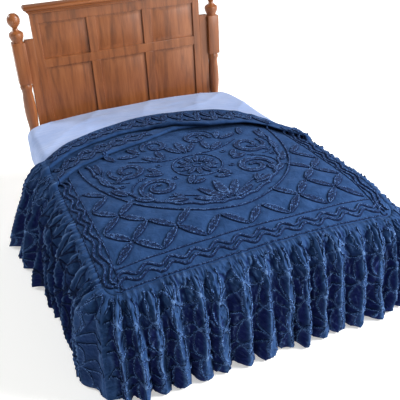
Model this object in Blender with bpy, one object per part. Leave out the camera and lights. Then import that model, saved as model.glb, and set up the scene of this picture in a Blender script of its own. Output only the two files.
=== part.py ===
# Chenille bedspread over a plain wooden bed.
# Metres, +Z up, +Y towards the head of the bed, floor at Z = 0.
import math

import bmesh
import bpy
from mathutils import Vector

# Driving sizes of the bed
MATTRESS_HALF_W = 0.762
MATTRESS_L = 2.032
MATTRESS_BOTTOM = 0.3305
MATTRESS_EDGE_R = 0.050
MATTRESS_CORNER_R = 0.090
FOUNDATION_BOTTOM = 0.150
RAIL_OUTER = 0.730
RAIL_THICK = 0.025
RAIL_FOOT_Y = 0.045
LEG_SIDE = 0.060
POST_X = 0.690
POST_Y = 2.100
BOARD_THICK = 0.030

# Driving sizes of the bedspread
TOP_Z = 0.600
SHEET_THICK = 0.0025
OVER_MATTRESS = 0.003
SEAM_X = 0.742
SEAM_Y = 0.020
SEAM_CORNER_R = 0.070
SEAM_GAP = 0.0020
HEM_Z = 0.010
SHOULDER_OUT = 0.032
SHOULDER_DROP = 0.040
STRIP_GAP = 0.0003

# Crown of the bed: fall at the sides, fall at the foot and how far in it reaches
SIDE_FALL = 0.029
SIDE_FALL_X = 0.650
FOOT_FALL = 0.084
FOOT_FALL_L = 0.411

# Head end, by distance across the bed: front edge of the lower pleat,
# front edge of the upper pleat and edge of the cloth, all from the foot
HEAD_END = (
    # x,     lower, upper, edge
    (-0.742, 0.980, 1.200, 1.370),
    (-0.600, 1.090, 1.310, 1.480),
    (-0.400, 1.150, 1.365, 1.570),
    (-0.150, 1.215, 1.405, 1.625),
    (0.050, 1.290, 1.320, 1.635),
    (0.300, 1.250, 1.200, 1.590),
    (0.550, 1.195, 1.145, 1.480),
    (0.680, 1.030, 0.980, 1.300),
    (0.742, 0.930, 0.880, 1.130),
)
PLEAT_DEPTH = 0.100
LAYER_STEP = 0.0065
PLEAT_RISE = 0.022
PLEAT_RISE_RIGHT = 0.007
SETTLE_L = 0.050

# Ridges of the foot drop, measured along the seam from the foot centre to the
# middle of each corner
FOOT_RIDGES = (-0.727, -0.668, -0.575, -0.490, -0.370, -0.287, -0.166, -0.051,
               0.056, 0.148, 0.240, 0.335, 0.455, 0.566, 0.660, 0.727)
# Ridges of the side drops, measured from the middle of the corner; a wide step
# holds a deep fold
LEFT_RIDGES = (0.000, 0.105, 0.200, 0.290, 0.380, 0.475, 0.565, 0.660, 0.750,
               0.840, 1.000, 1.095, 1.240, 1.330)
RIGHT_RIDGES = (0.000, 0.105, 0.205, 0.310, 0.415, 0.515, 0.620, 0.730, 0.850,
                0.970, 1.090)
COLUMNS_PER_FOLD = 7
DROP_ROWS = (0.0, 0.03, 0.08, 0.22, 0.45, 0.72, 1.0)
FOLD_DEPTH = 0.056
FOLD_BEAT = 9.0 * math.pi / 13.0
WIDE_STEP = 0.110
FOOT_FLARE = 0.060
LEFT_FLARE = 0.200
RIGHT_FLARE = 0.080
# share of a side drop's length from which it flares out towards the head
FLARE_FROM = 0.280
LEFT_LEAN = 0.160
RIGHT_LEAN = 0.120

NAVY = (0.022, 0.045, 0.120, 1.0)
PALE_BLUE = (0.480, 0.550, 0.700, 1.0)
TICKING = (0.700, 0.680, 0.640, 1.0)
WARM_WOOD = (0.210, 0.080, 0.028, 1.0)


def make_material(name, color, roughness):
    material = bpy.data.materials.new(name)
    material.use_nodes = True
    shader = material.node_tree.nodes["Principled BSDF"]
    shader.inputs["Base Color"].default_value = color
    shader.inputs["Roughness"].default_value = roughness
    shader.inputs["Metallic"].default_value = 0.0
    return material


def make_object(name, bm, material, bed):
    bmesh.ops.recalc_face_normals(bm, faces=bm.faces)
    mesh = bpy.data.meshes.new(name)
    bm.to_mesh(mesh)
    bm.free()
    obj = bpy.data.objects.new(name, mesh)
    bpy.context.scene.collection.objects.link(obj)
    mesh.materials.append(material)
    obj.parent = bed
    return obj


def smoothstep(value):
    value = min(max(value, 0.0), 1.0)
    return value * value * (3.0 - 2.0 * value)


def crown_z(x, y):
    """Height of the bedspread over the bed, before pleats and shoulders."""
    side = SIDE_FALL * abs(x / SIDE_FALL_X) ** 3
    reach = max(0.0, 1.0 - (y - SEAM_Y) / FOOT_FALL_L)
    return TOP_Z - side - FOOT_FALL * reach ** 2


def head_end(x):
    """Lower pleat, upper pleat and cloth edge at this distance across the bed."""
    x = min(max(x, HEAD_END[0][0]), HEAD_END[-1][0])
    last = len(HEAD_END) - 1
    k = max(i for i in range(last) if HEAD_END[i][0] <= x)
    before, here, there, after = (
        HEAD_END[max(k - 1, 0)], HEAD_END[k], HEAD_END[k + 1], HEAD_END[min(k + 2, last)])
    span = there[0] - here[0]
    q = (x - here[0]) / span
    values = []
    for column in (1, 2, 3):
        slope_in = (there[column] - before[column]) / (there[0] - before[0])
        slope_out = (after[column] - here[column]) / (after[0] - here[0])
        values.append(
            here[column] * (1 + 2 * q) * (1 - q) ** 2
            + there[column] * q * q * (3 - 2 * q)
            + slope_in * span * q * (1 - q) ** 2
            - slope_out * span * q * q * (1 - q))
    return values


def pleat_rise(x):
    """Fullness of a pleat's front roll, which is pressed flat at the right end."""
    return PLEAT_RISE + (PLEAT_RISE_RIGHT - PLEAT_RISE) * smoothstep((x - 0.15) / 0.55)


def lower_layer_z(x, y, lower):
    """Rise of the cloth behind the front edge of the lower pleat."""
    back = lower + PLEAT_DEPTH
    front_z = LAYER_STEP + pleat_rise(x)
    level = 2.0 * LAYER_STEP
    if y < back:
        return front_z + (level - front_z) * smoothstep((y - lower) / PLEAT_DEPTH)
    return level * (1.0 - smoothstep((y - back) / SETTLE_L))


def upper_layer_z(x, y, lower, upper):
    """Rise of the top layer, from the upper pleat to the edge of the cloth."""
    under = lower_layer_z(x, max(y, lower), lower)
    front_z = under + LAYER_STEP + pleat_rise(x)
    level = under + 2.0 * LAYER_STEP
    back = max(lower, upper) + PLEAT_DEPTH
    if y < back:
        return front_z + (level - front_z) * smoothstep((y - upper) / PLEAT_DEPTH)
    return level * (1.0 - smoothstep((y - back) / SETTLE_L))


def pleat_section(x):
    """The cloth's path from foot to head at x, as (y, rise) rows."""
    lower, upper, edge = head_end(x)
    rows = []
    flat_rows = 12
    lower_back = lower + PLEAT_DEPTH
    start = SEAM_Y + SEAM_GAP
    full = pleat_rise(x)
    for i in range(flat_rows):
        q = i / (flat_rows - 1)
        # rows are closer where the crown bends at the foot
        rows.append((start + (lower_back - start) * (0.45 * q + 0.55 * q ** 1.6), 0.0))
    for front, back, base in (
            (lower, lower_back, lambda y: 0.0),
            (upper, upper + PLEAT_DEPTH,
             lambda y: lower_layer_z(x, max(y, lower), lower))):
        # back turn, returning layer and front turn of one pleat
        for angle in (30, 90, 150):
            a = math.radians(angle)
            rows.append((back + 0.5 * LAYER_STEP * math.sin(a),
                         base(back) + 0.5 * LAYER_STEP * (1 - math.cos(a))))
        for q in (0.15, 0.5, 0.85):
            y = back + (front - back) * q
            rows.append((y, base(y) + LAYER_STEP))
        for angle in (0, 45, 90, 135, 180):
            a = math.radians(angle)
            rows.append((front + 0.5 * full * (1 - 1.15 * math.sin(a)),
                         base(front) + LAYER_STEP + 0.5 * full * (1 - math.cos(a))))
        if front == lower:
            for q in (0.2, 0.45, 0.7, 0.88):
                y = lower + (upper + PLEAT_DEPTH - lower) * q
                rows.append((y, lower_layer_z(x, y, lower)))
            rows.append((upper + PLEAT_DEPTH,
                         lower_layer_z(x, upper + PLEAT_DEPTH, lower)))
    for q in (0.2, 0.4, 0.6, 0.8, 1.0):
        y = upper + (edge - upper) * q
        rows.append((y, upper_layer_z(x, y, lower, upper)))
    return rows


def round_foot_corner(x, y, half_w, foot_y, radius):
    """Pull a point of a square corner on to the rounded one."""
    a = (abs(x) - (half_w - radius)) / radius
    b = (foot_y + radius - y) / radius
    if a <= 0 or b <= 0:
        return x, y
    pull = max(a, b) / math.hypot(a, b)
    return (math.copysign(half_w - radius + a * pull * radius, x),
            foot_y + radius - b * pull * radius)


def solid_sheet(name, columns, material, bed):
    """A closed cloth solid on the middle surface given by columns of points."""
    bm = bmesh.new()
    verts = [[bm.verts.new(point) for point in column] for column in columns]
    for left, right in zip(verts, verts[1:]):
        for k in range(len(left) - 1):
            bm.faces.new((left[k], right[k], right[k + 1], left[k + 1]))
    obj = make_object(name, bm, material, bed)
    solidify = obj.modifiers.new("thickness", "SOLIDIFY")
    solidify.thickness = SHEET_THICK
    solidify.offset = 0.0
    solidify.use_even_offset = True
    return obj


def build_top_panel(material, bed):
    half = SEAM_X - SEAM_GAP
    strips = 22
    columns = []
    for i in range(strips + 1):
        q = 2.0 * i / strips - 1.0
        x = half * (0.75 * q + 0.25 * math.sin(0.5 * math.pi * q))
        column = []
        for y, rise in pleat_section(x):
            px, py = round_foot_corner(x, y, half, SEAM_Y + SEAM_GAP, SEAM_CORNER_R)
            column.append((px, py, crown_z(px, py) + rise))
        columns.append(column)
    return solid_sheet("top_panel", columns, material, bed)


def seam_point(s):
    """Point and outward direction of the seam, s metres from the foot centre."""
    straight = SEAM_X - SEAM_CORNER_R
    arc = 0.5 * math.pi * SEAM_CORNER_R
    side = math.copysign(1.0, s)
    s = abs(s)
    if s <= straight:
        return Vector((side * s, SEAM_Y, 0)), Vector((0, -1, 0))
    if s <= straight + arc:
        a = (s - straight) / SEAM_CORNER_R
        out = Vector((side * math.sin(a), -math.cos(a), 0))
        centre = Vector((side * straight, SEAM_Y + SEAM_CORNER_R, 0))
        return centre + SEAM_CORNER_R * out, out
    y = SEAM_Y + SEAM_CORNER_R + s - straight - arc
    return Vector((side * SEAM_X, y, 0)), Vector((side, 0, 0))


def seam_z(point):
    """Height of the seam, which climbs over the edges of the pleats."""
    lower, upper, _ = head_end(point.x)
    ramp = 0.030
    rise = 0.0
    if point.y > lower - ramp:
        rise = lower_layer_z(point.x, max(point.y, lower), lower)
        rise *= smoothstep((point.y - lower + ramp) / ramp)
    if point.y > upper - ramp:
        full = upper_layer_z(point.x, max(point.y, upper), lower, upper)
        rise += (full - rise) * smoothstep((point.y - upper + ramp) / ramp)
    return crown_z(point.x, point.y) + rise


def fold_at(s, ridges):
    """Phase of the folds at s (whole numbers are ridges), and its step's width."""
    last = len(ridges) - 2
    k = max([i for i in range(last + 1) if ridges[i] <= s] or [0])
    step = ridges[k + 1] - ridges[k]
    return k + (s - ridges[k]) / step, step


def drop_point(s, t, phase, step, flare, lean):
    """Point of a drop at s along the seam and t from seam to hem."""
    point, out = seam_point(s)
    top = seam_z(point)
    fall = t * (top - HEM_Z)
    bend = max(0.0, 1.0 - fall / SHOULDER_DROP)
    shoulder = SHOULDER_OUT * math.sqrt(1.0 - bend * bend)
    valley = abs(math.sin(math.pi * phase)) ** 2.6
    deep = smoothstep((step - WIDE_STEP) / 0.05)
    depth = FOLD_DEPTH * (1.0 + 0.22 * math.sin(FOLD_BEAT * math.floor(phase + 0.5)))
    ridge = depth * smoothstep(0.15 + 0.85 * t) * min(1.0, 12.0 * t) * (1.0 - valley)
    spread = flare * t * (1.0 - 0.45 * deep * valley)
    along = Vector((-out.y, out.x, 0))
    sway = 0.012 * t * math.sin(2.0 * math.pi * phase) + lean * t * t
    place = point + out * (shoulder + spread + ridge) + along * sway
    place.z = top - fall
    return place


def build_drop(name, side, length, ridges, flare, lean, material, bed):
    """A gathered strip: the foot one if side is 0, else one from a corner."""
    # the strips meet on the diagonals of the foot corners
    corner = SEAM_X - SEAM_CORNER_R + 0.25 * math.pi * SEAM_CORNER_R
    if side == 0:
        start, end = -corner + STRIP_GAP, corner - STRIP_GAP
    else:
        start, end = STRIP_GAP, length
    steps = COLUMNS_PER_FOLD * (len(ridges) - 1)
    columns = []
    for i in range(steps + 1):
        s = start + (end - start) * i / steps
        phase, step = fold_at(s, ridges)
        grown = smoothstep((s / length - FLARE_FROM) / (1.0 - FLARE_FROM))
        flare_here = FOOT_FLARE + (flare - FOOT_FLARE) * grown
        lean_here = side * lean * smoothstep(1.6 * s / length - 0.6)
        place = s if side == 0 else side * (corner + s)
        columns.append([drop_point(place, t, phase, step, flare_here, lean_here)
                        for t in DROP_ROWS])
    return solid_sheet(name, columns, material, bed)


def build_drops(material, bed):
    build_drop("foot_drop", 0, 1.0, FOOT_RIDGES, FOOT_FLARE, 0.0, material, bed)
    build_drop("left_drop", -1, LEFT_RIDGES[-1], LEFT_RIDGES, LEFT_FLARE, LEFT_LEAN,
               material, bed)
    build_drop("right_drop", 1, RIGHT_RIDGES[-1], RIGHT_RIDGES, RIGHT_FLARE, RIGHT_LEAN,
               material, bed)


def build_mattress(material, bed):
    """A crowned top with rounded edges and corners, over straight sides."""
    steps = 14
    rows = []
    bm = bmesh.new()
    for i in range(steps + 1):
        a = math.sin(0.5 * math.pi * (2.0 * i / steps - 1.0))
        row = []
        for j in range(steps + 1):
            b = math.sin(0.5 * math.pi * (2.0 * j / steps - 1.0))
            x = MATTRESS_HALF_W * a
            y = 0.5 * MATTRESS_L * (1.0 + b)
            x, y = round_foot_corner(x, y, MATTRESS_HALF_W, 0.0, MATTRESS_CORNER_R)
            x, mirrored = round_foot_corner(
                x, MATTRESS_L - y, MATTRESS_HALF_W, 0.0, MATTRESS_CORNER_R)
            y = MATTRESS_L - mirrored
            row.append(bm.verts.new((x, y, mattress_z(x, y))))
        rows.append(row)
    faces = []
    for left, right in zip(rows, rows[1:]):
        for k in range(steps):
            faces.append(bm.faces.new((left[k], right[k], right[k + 1], left[k + 1])))
    walls = bmesh.ops.extrude_face_region(bm, geom=faces)
    for vert in [item for item in walls["geom"] if isinstance(item, bmesh.types.BMVert)]:
        vert.co.z = MATTRESS_BOTTOM
    return make_object("mattress", bm, material, bed)


def mattress_z(x, y):
    """Top of the mattress, a little under the cloth and rounded at its edges."""
    in_x = MATTRESS_HALF_W - abs(x)
    in_y = min(y, MATTRESS_L - y)
    inside = min(in_x, in_y)
    if in_x < MATTRESS_CORNER_R and in_y < MATTRESS_CORNER_R:
        inside = MATTRESS_CORNER_R - math.hypot(
            MATTRESS_CORNER_R - in_x, MATTRESS_CORNER_R - in_y)
    edge = max(0.0, 1.0 - max(inside, 0.0) / MATTRESS_EDGE_R)
    rounding = MATTRESS_EDGE_R * (1.0 - math.sqrt(1.0 - min(edge, 1.0) ** 2))
    return crown_z(x, max(y, SEAM_Y)) - OVER_MATTRESS - rounding


def box(bm, low, high):
    size = Vector(high) - Vector(low)
    made = bmesh.ops.create_cube(bm, size=1.0)
    bmesh.ops.scale(bm, vec=size, verts=made["verts"])
    bmesh.ops.translate(bm, vec=Vector(low) + 0.5 * size, verts=made["verts"])
    return made["verts"]


def bevelled_box(name, low, high, bevel, material, bed):
    bm = bmesh.new()
    box(bm, low, high)
    bmesh.ops.bevel(bm, geom=bm.edges[:], offset=bevel, segments=2, profile=0.5,
                    affect="EDGES", material=-1)
    return make_object(name, bm, material, bed)


def build_rail(name, profile, direction, start, end, material, bed):
    """A rail of L section, extruded along the bed or across it."""
    bm = bmesh.new()
    loop = []
    for inward, z in profile:
        if direction == "side":
            loop.append(bm.verts.new((inward, start, z)))
        else:
            loop.append(bm.verts.new((start, inward, z)))
    face = bm.faces.new(loop)
    moved = bmesh.ops.extrude_face_region(bm, geom=[face])
    shift = (0, end - start, 0) if direction == "side" else (end - start, 0, 0)
    bmesh.ops.translate(
        bm, vec=shift,
        verts=[item for item in moved["geom"] if isinstance(item, bmesh.types.BMVert)])
    return make_object(name, bm, material, bed)


def rail_profile(outer, inward):
    """Outer face, top, inner face and ledge, from the outer bottom edge."""
    low, ledge_top, top, ledge = 0.130, 0.1495, 0.290, 0.030
    inner = outer + inward * RAIL_THICK
    return ((outer, low), (outer, top), (inner, top), (inner, ledge_top),
            (inner + inward * ledge, ledge_top), (inner + inward * ledge, low))


def build_frame(wood, ticking, bed):
    inner = RAIL_OUTER - RAIL_THICK
    foot_inner = RAIL_FOOT_Y + RAIL_THICK
    post_front = POST_Y - 0.0455
    bevelled_box("foundation", (-inner + 0.001, foot_inner + 0.001, FOUNDATION_BOTTOM),
                 (inner - 0.001, 2.030, MATTRESS_BOTTOM - 0.0005), 0.012, ticking, bed)
    build_rail("left_rail", rail_profile(-RAIL_OUTER, 1), "side",
               RAIL_FOOT_Y, post_front, wood, bed)
    build_rail("right_rail", rail_profile(RAIL_OUTER, -1), "side",
               RAIL_FOOT_Y, post_front, wood, bed)
    clear = inner - 0.0305
    build_rail("foot_rail", rail_profile(RAIL_FOOT_Y, 1), "across", -clear, clear, wood, bed)
    for name, side in (("left_foot_leg", -1), ("right_foot_leg", 1)):
        centre = side * (RAIL_OUTER - 0.5 * LEG_SIDE)
        bevelled_box(name, (centre - 0.5 * LEG_SIDE, RAIL_FOOT_Y, 0.0),
                     (centre + 0.5 * LEG_SIDE, RAIL_FOOT_Y + LEG_SIDE, 0.1295),
                     0.004, wood, bed)


def build_post(name, x, material, bed):
    """A post turned round above and below a square block, with a ball on top."""
    # height, half width, squareness (1 is the square block, 0 is turned round)
    rings = (
        (0.000, 0.026, 0), (0.060, 0.034, 0), (0.090, 0.038, 0), (0.105, 0.045, 1),
        (0.420, 0.045, 1), (0.436, 0.036, 0), (0.460, 0.040, 0), (0.490, 0.032, 0),
        (0.600, 0.041, 0), (0.760, 0.034, 0), (0.790, 0.041, 0), (0.815, 0.041, 1),
        (1.090, 0.041, 1), (1.100, 0.034, 0), (1.130, 0.045, 0), (1.150, 0.045, 0),
        (1.165, 0.024, 0), (1.183, 0.017, 0), (1.194, 0.027, 0), (1.210, 0.037, 0),
        (1.232, 0.042, 0), (1.254, 0.037, 0), (1.270, 0.024, 0), (1.277, 0.008, 0),
    )
    sides = 12
    bm = bmesh.new()
    loops = []
    for z, half, square in rings:
        loop = []
        for k in range(sides):
            a = 2.0 * math.pi * (k + 0.5) / sides
            stretch = 1.0 / max(abs(math.cos(a)), abs(math.sin(a))) if square else 1.0
            loop.append(bm.verts.new((half * stretch * math.cos(a),
                                      half * stretch * math.sin(a), z)))
        loops.append(loop)
    for below, above in zip(loops, loops[1:]):
        for k in range(sides):
            n = (k + 1) % sides
            bm.faces.new((below[k], below[n], above[n], above[k]))
    bm.faces.new(loops[0])
    bm.faces.new(loops[-1])
    obj = make_object(name, bm, material, bed)
    obj.location = (x, POST_Y, 0.0)
    return obj


def build_headboard(material, bed):
    """A board with low shoulders, a taller middle and three raised panels."""
    inner = POST_X - 0.0413
    middle, shoulder_z, top_z, low_z = 0.590, 1.100, 1.255, 0.440
    xs = (-inner, -middle, -0.540, -0.225, -0.165, 0.165, 0.225, 0.540, middle, inner)
    zs = (low_z, 0.520, 0.900, 0.960, shoulder_z, 1.195, top_z)
    front = POST_Y - 0.5 * BOARD_THICK
    bm = bmesh.new()
    verts = {}
    faces = {}
    for i, x in enumerate(xs):
        for k, z in enumerate(zs):
            verts[i, k] = bm.verts.new((x, front, z))
    for i in range(len(xs) - 1):
        for k in range(len(zs) - 1):
            if k > 3 and i in (0, len(xs) - 2):
                continue
            faces[i, k] = bm.faces.new(
                (verts[i, k], verts[i + 1, k], verts[i + 1, k + 1], verts[i, k + 1]))
    loose = [vert for vert in bm.verts if not vert.link_faces]
    bmesh.ops.delete(bm, geom=loose, context="VERTS")
    bmesh.ops.recalc_face_normals(bm, faces=bm.faces)
    back = bmesh.ops.extrude_face_region(bm, geom=bm.faces[:], use_keep_orig=True)
    bmesh.ops.translate(
        bm, vec=(0, BOARD_THICK, 0),
        verts=[item for item in back["geom"] if isinstance(item, bmesh.types.BMVert)])
    for rows in ((1,), (3, 4)):
        for column in (2, 4, 6):
            panel = [faces[column, k] for k in rows]
            bmesh.ops.inset_region(bm, faces=panel, thickness=0.008, depth=-0.009,
                                   use_even_offset=True)
            bmesh.ops.inset_region(bm, faces=panel, thickness=0.024, depth=0.007,
                                   use_even_offset=True)
    return make_object("headboard", bm, material, bed)


def build_crown(material, bed):
    """The moulding on the headboard: a stepped section that returns at its ends."""
    # height above the board, overhang in front and at the ends
    steps = ((0.0005, 0.004), (0.012, 0.008), (0.024, 0.022), (0.036, 0.030),
             (0.052, 0.033), (0.056, 0.030))
    half_l, half_t, foot_z = 0.590, 0.5 * BOARD_THICK, 1.255
    bm = bmesh.new()
    loops = []
    for rise, out in steps:
        corners = ((-1, -1), (1, -1), (1, 1), (-1, 1))
        loops.append([bm.verts.new((a * (half_l + out), POST_Y + b * (half_t + out),
                                    foot_z + rise)) for a, b in corners])
    for below, above in zip(loops, loops[1:]):
        for k in range(4):
            n = (k + 1) % 4
            bm.faces.new((below[k], below[n], above[n], above[k]))
    bm.faces.new(loops[0])
    bm.faces.new(loops[-1])
    return make_object("headboard_crown", bm, material, bed)


def centre_on_origin(bed):
    """Put the middle of the model's footprint at the origin."""
    bpy.context.view_layer.update()
    graph = bpy.context.evaluated_depsgraph_get()
    corners = []
    for obj in bed.children:
        solid = obj.evaluated_get(graph)
        corners += [obj.matrix_world @ Vector(corner) for corner in solid.bound_box]
    for axis in (0, 1):
        low = min(corner[axis] for corner in corners)
        high = max(corner[axis] for corner in corners)
        bed.location[axis] = -0.5 * (low + high)


def main():
    for obj in list(bpy.data.objects):
        bpy.data.objects.remove(obj, do_unlink=True)
    bed = bpy.data.objects.new("bed", None)
    bpy.context.scene.collection.objects.link(bed)

    chenille = make_material("navy_chenille", NAVY, 0.95)
    drop_cloth = make_material("navy_drop", NAVY, 0.95)
    sheet = make_material("pale_blue_sheet", PALE_BLUE, 0.85)
    ticking = make_material("ticking", TICKING, 0.90)
    wood = make_material("warm_wood", WARM_WOOD, 0.45)

    build_top_panel(chenille, bed)
    build_drops(drop_cloth, bed)
    build_mattress(sheet, bed)
    build_frame(wood, ticking, bed)
    build_post("left_post", -POST_X, wood, bed)
    build_post("right_post", POST_X, wood, bed)
    build_headboard(wood, bed)
    build_crown(wood, bed)
    centre_on_origin(bed)


main()
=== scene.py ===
import math

import bmesh
import bpy
import numpy as np
from mathutils import Matrix, Vector


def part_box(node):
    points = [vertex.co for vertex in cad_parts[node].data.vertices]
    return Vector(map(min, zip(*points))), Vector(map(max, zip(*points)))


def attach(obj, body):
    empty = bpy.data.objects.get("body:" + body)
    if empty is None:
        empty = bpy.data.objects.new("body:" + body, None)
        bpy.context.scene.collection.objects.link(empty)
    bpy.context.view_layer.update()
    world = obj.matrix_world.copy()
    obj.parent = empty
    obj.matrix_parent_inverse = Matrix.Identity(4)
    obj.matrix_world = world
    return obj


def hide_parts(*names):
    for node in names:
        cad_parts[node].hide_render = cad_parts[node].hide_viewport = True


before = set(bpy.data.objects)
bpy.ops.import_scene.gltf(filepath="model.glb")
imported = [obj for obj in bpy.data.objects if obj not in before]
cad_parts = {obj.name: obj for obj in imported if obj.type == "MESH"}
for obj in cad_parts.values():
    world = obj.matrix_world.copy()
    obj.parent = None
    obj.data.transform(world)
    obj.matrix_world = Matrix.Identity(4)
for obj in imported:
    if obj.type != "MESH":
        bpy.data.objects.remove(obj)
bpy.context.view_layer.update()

# The bed's own axes: every place below is shifted by these two on to the model.
mattress_low, mattress_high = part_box("mattress")
BED_X = 0.5 * (mattress_low.x + mattress_high.x)
BED_Y = mattress_low.y


# Top panel
# One piece of cotton ground cloth over the mattress's crown. Its head end is laid
# back on itself in two shallow pleats, so up to five layers lie over one another.
TOP_Z = 0.600
SEAM_X = 0.742
SEAM_Y = 0.020
SEAM_CORNER_R = 0.070
HEM_Z = 0.010
# how far the crown falls to a side, at this distance from the middle, and to the foot
SIDE_FALL = 0.029
SIDE_FALL_X = 0.650
FOOT_FALL = 0.084
FOOT_FALL_L = 0.411
CLOTH_THICK = 0.0022
# the edge stays this far inside the seam
EDGE_GAP = 0.0005
# depth of a pleat, step from layer to layer, fullness of its front roll on the left and
# at the right end, and the length over which the cloth settles behind it
PLEAT_DEPTH = 0.100
LAYER_STEP = 0.0065
PLEAT_RISE = 0.022
PLEAT_RISE_RIGHT = 0.007
SETTLE_L = 0.050

# distance across the bed, front edge of the lower pleat, of the upper pleat, cloth edge
HEAD_END = np.array((
    (-0.742, 0.980, 1.200, 1.370),
    (-0.600, 1.090, 1.310, 1.480),
    (-0.400, 1.150, 1.365, 1.570),
    (-0.150, 1.215, 1.405, 1.625),
    (0.050, 1.290, 1.320, 1.635),
    (0.300, 1.250, 1.200, 1.590),
    (0.550, 1.195, 1.145, 1.480),
    (0.680, 1.030, 0.980, 1.300),
    (0.742, 0.930, 0.880, 1.130),
))
# the lattice of petals: half its width, its foot edge, and half a cell
LATTICE_HALF = 0.650
LATTICE_FOOT = 0.160
LATTICE_STEP = LATTICE_HALF / 6.0
# the lines inside the seams, and the oval field in the middle
INNER_X = 0.668
INNER_Y = 0.143
MIDDLE_Y = 1.100
MIDDLE_HALF_W = 0.600
MIDDLE_HALF_L = 0.800
# step of the small gathers, height of a swell between petals, of the puckers at the
# side seams and of those at the foot seam
GATHER_STEP = 0.031
SWELL = 0.0065
SIDE_PUCKER = 0.0085
FOOT_PUCKER = 0.0100


def smoothstep(value):
    """From 0 to 1 as the value does, with a soft start and end."""
    value = np.clip(value, 0.0, 1.0)
    return value * value * (3.0 - 2.0 * value)


def crown_z(x, y):
    """Height of the cloth over the bed, before pleats and shoulders."""
    side = SIDE_FALL * np.abs(x / SIDE_FALL_X) ** 3
    reach = np.maximum(0.0, 1.0 - (y - SEAM_Y) / FOOT_FALL_L)
    return TOP_Z - side - FOOT_FALL * reach ** 2


def head_end(x):
    """Lower pleat, upper pleat and cloth edge at x, on a smooth curve."""
    x = np.clip(np.asarray(x, float), HEAD_END[0, 0], HEAD_END[-1, 0])
    last = len(HEAD_END) - 1
    k = np.clip(np.searchsorted(HEAD_END[:, 0], x, side="right") - 1, 0, last - 1)
    before, here = HEAD_END[np.maximum(k - 1, 0)], HEAD_END[k]
    there, after = HEAD_END[k + 1], HEAD_END[np.minimum(k + 2, last)]
    span = there[..., 0] - here[..., 0]
    q = (x - here[..., 0]) / span
    curves = []
    for column in (1, 2, 3):
        slope_in = (there[..., column] - before[..., column]) / (there[..., 0] - before[..., 0])
        slope_out = (after[..., column] - here[..., column]) / (after[..., 0] - here[..., 0])
        curves.append(here[..., column] * (1 + 2 * q) * (1 - q) ** 2
                      + there[..., column] * q * q * (3 - 2 * q)
                      + slope_in * span * q * (1 - q) ** 2
                      - slope_out * span * q * q * (1 - q))
    return curves


def pleat_rise(x):
    """Fullness of a pleat's front roll: uneven, and pressed flat at the right end."""
    uneven = 1.0 + 0.15 * np.sin(17.0 * x + 1.0) + 0.10 * np.sin(41.0 * x)
    flat = smoothstep((x - 0.15) / 0.55)
    return uneven * (PLEAT_RISE + (PLEAT_RISE_RIGHT - PLEAT_RISE) * flat)


def lower_layer_z(x, y, lower):
    """Rise of the cloth behind the front edge of the lower pleat."""
    back = lower + PLEAT_DEPTH
    front_z = LAYER_STEP + pleat_rise(x)
    level = 2.0 * LAYER_STEP
    near = front_z + (level - front_z) * smoothstep((y - lower) / PLEAT_DEPTH)
    return np.where(y < back, near, level * (1.0 - smoothstep((y - back) / SETTLE_L)))


def upper_layer_z(x, y, lower, upper):
    """Rise of the top layer, from the upper pleat to the edge of the cloth."""
    under = lower_layer_z(x, np.maximum(y, lower), lower)
    front_z = under + LAYER_STEP + pleat_rise(x)
    level = under + 2.0 * LAYER_STEP
    back = np.maximum(lower, upper) + PLEAT_DEPTH
    near = front_z + (level - front_z) * smoothstep((y - upper) / PLEAT_DEPTH)
    return np.where(y < back, near, level * (1.0 - smoothstep((y - back) / SETTLE_L)))


def soft_rumple(x, y):
    """Slow unevenness of cloth that lies on a mattress."""
    return (0.0040 + 0.0016 * np.sin(9.1 * x + 3.0 * np.sin(4.3 * y) + 0.6)
            + 0.0013 * np.sin(12.7 * y + 2.2 * np.sin(6.1 * x))
            + 0.0008 * np.sin(31.0 * x - 17.0 * y + 1.7))


def gathers(run, step=GATHER_STEP):
    """Small gathers along a seam, uneven in step and height, from 0 to 1."""
    run = run * GATHER_STEP / step
    uneven = 0.50 * np.sin(17.0 * run) + 0.28 * np.sin(43.0 * run + 1.0)
    ridges = 1.0 - np.abs(np.sin(math.pi * (run / GATHER_STEP + uneven)))
    return ridges * (0.62 + 0.38 * np.sin(26.0 * run + 2.0 * np.sin(9.0 * run)))


def lattice_puff(x, y):
    """The ground swells between the tufted petals, and puckers along the seams."""
    a = (x + LATTICE_HALF) / LATTICE_STEP
    b = (y - LATTICE_FOOT) / LATTICE_STEP
    swell = (np.sin(0.5 * math.pi * (a + b)) * np.sin(0.5 * math.pi * (a - b))) ** 2
    inner = smoothstep((INNER_X - np.abs(x)) / 0.03) * smoothstep((y - INNER_Y) / 0.03)
    outside = smoothstep((((x / MIDDLE_HALF_W) ** 2 + ((y - MIDDLE_Y) / MIDDLE_HALF_L) ** 2)
                          - 1.0) / 0.15)
    side_pucker = np.exp(-(SEAM_X - np.abs(x)) / 0.048) * gathers(y + 0.25 * np.abs(x))
    foot_pucker = np.exp(-(y - SEAM_Y) / 0.036) * gathers(x)
    return (SWELL * swell * inner * outside
            + SIDE_PUCKER * side_pucker * smoothstep((y - 0.06) / 0.06)
            + FOOT_PUCKER * foot_pucker * smoothstep((0.735 - np.abs(x)) / 0.04))


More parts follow.
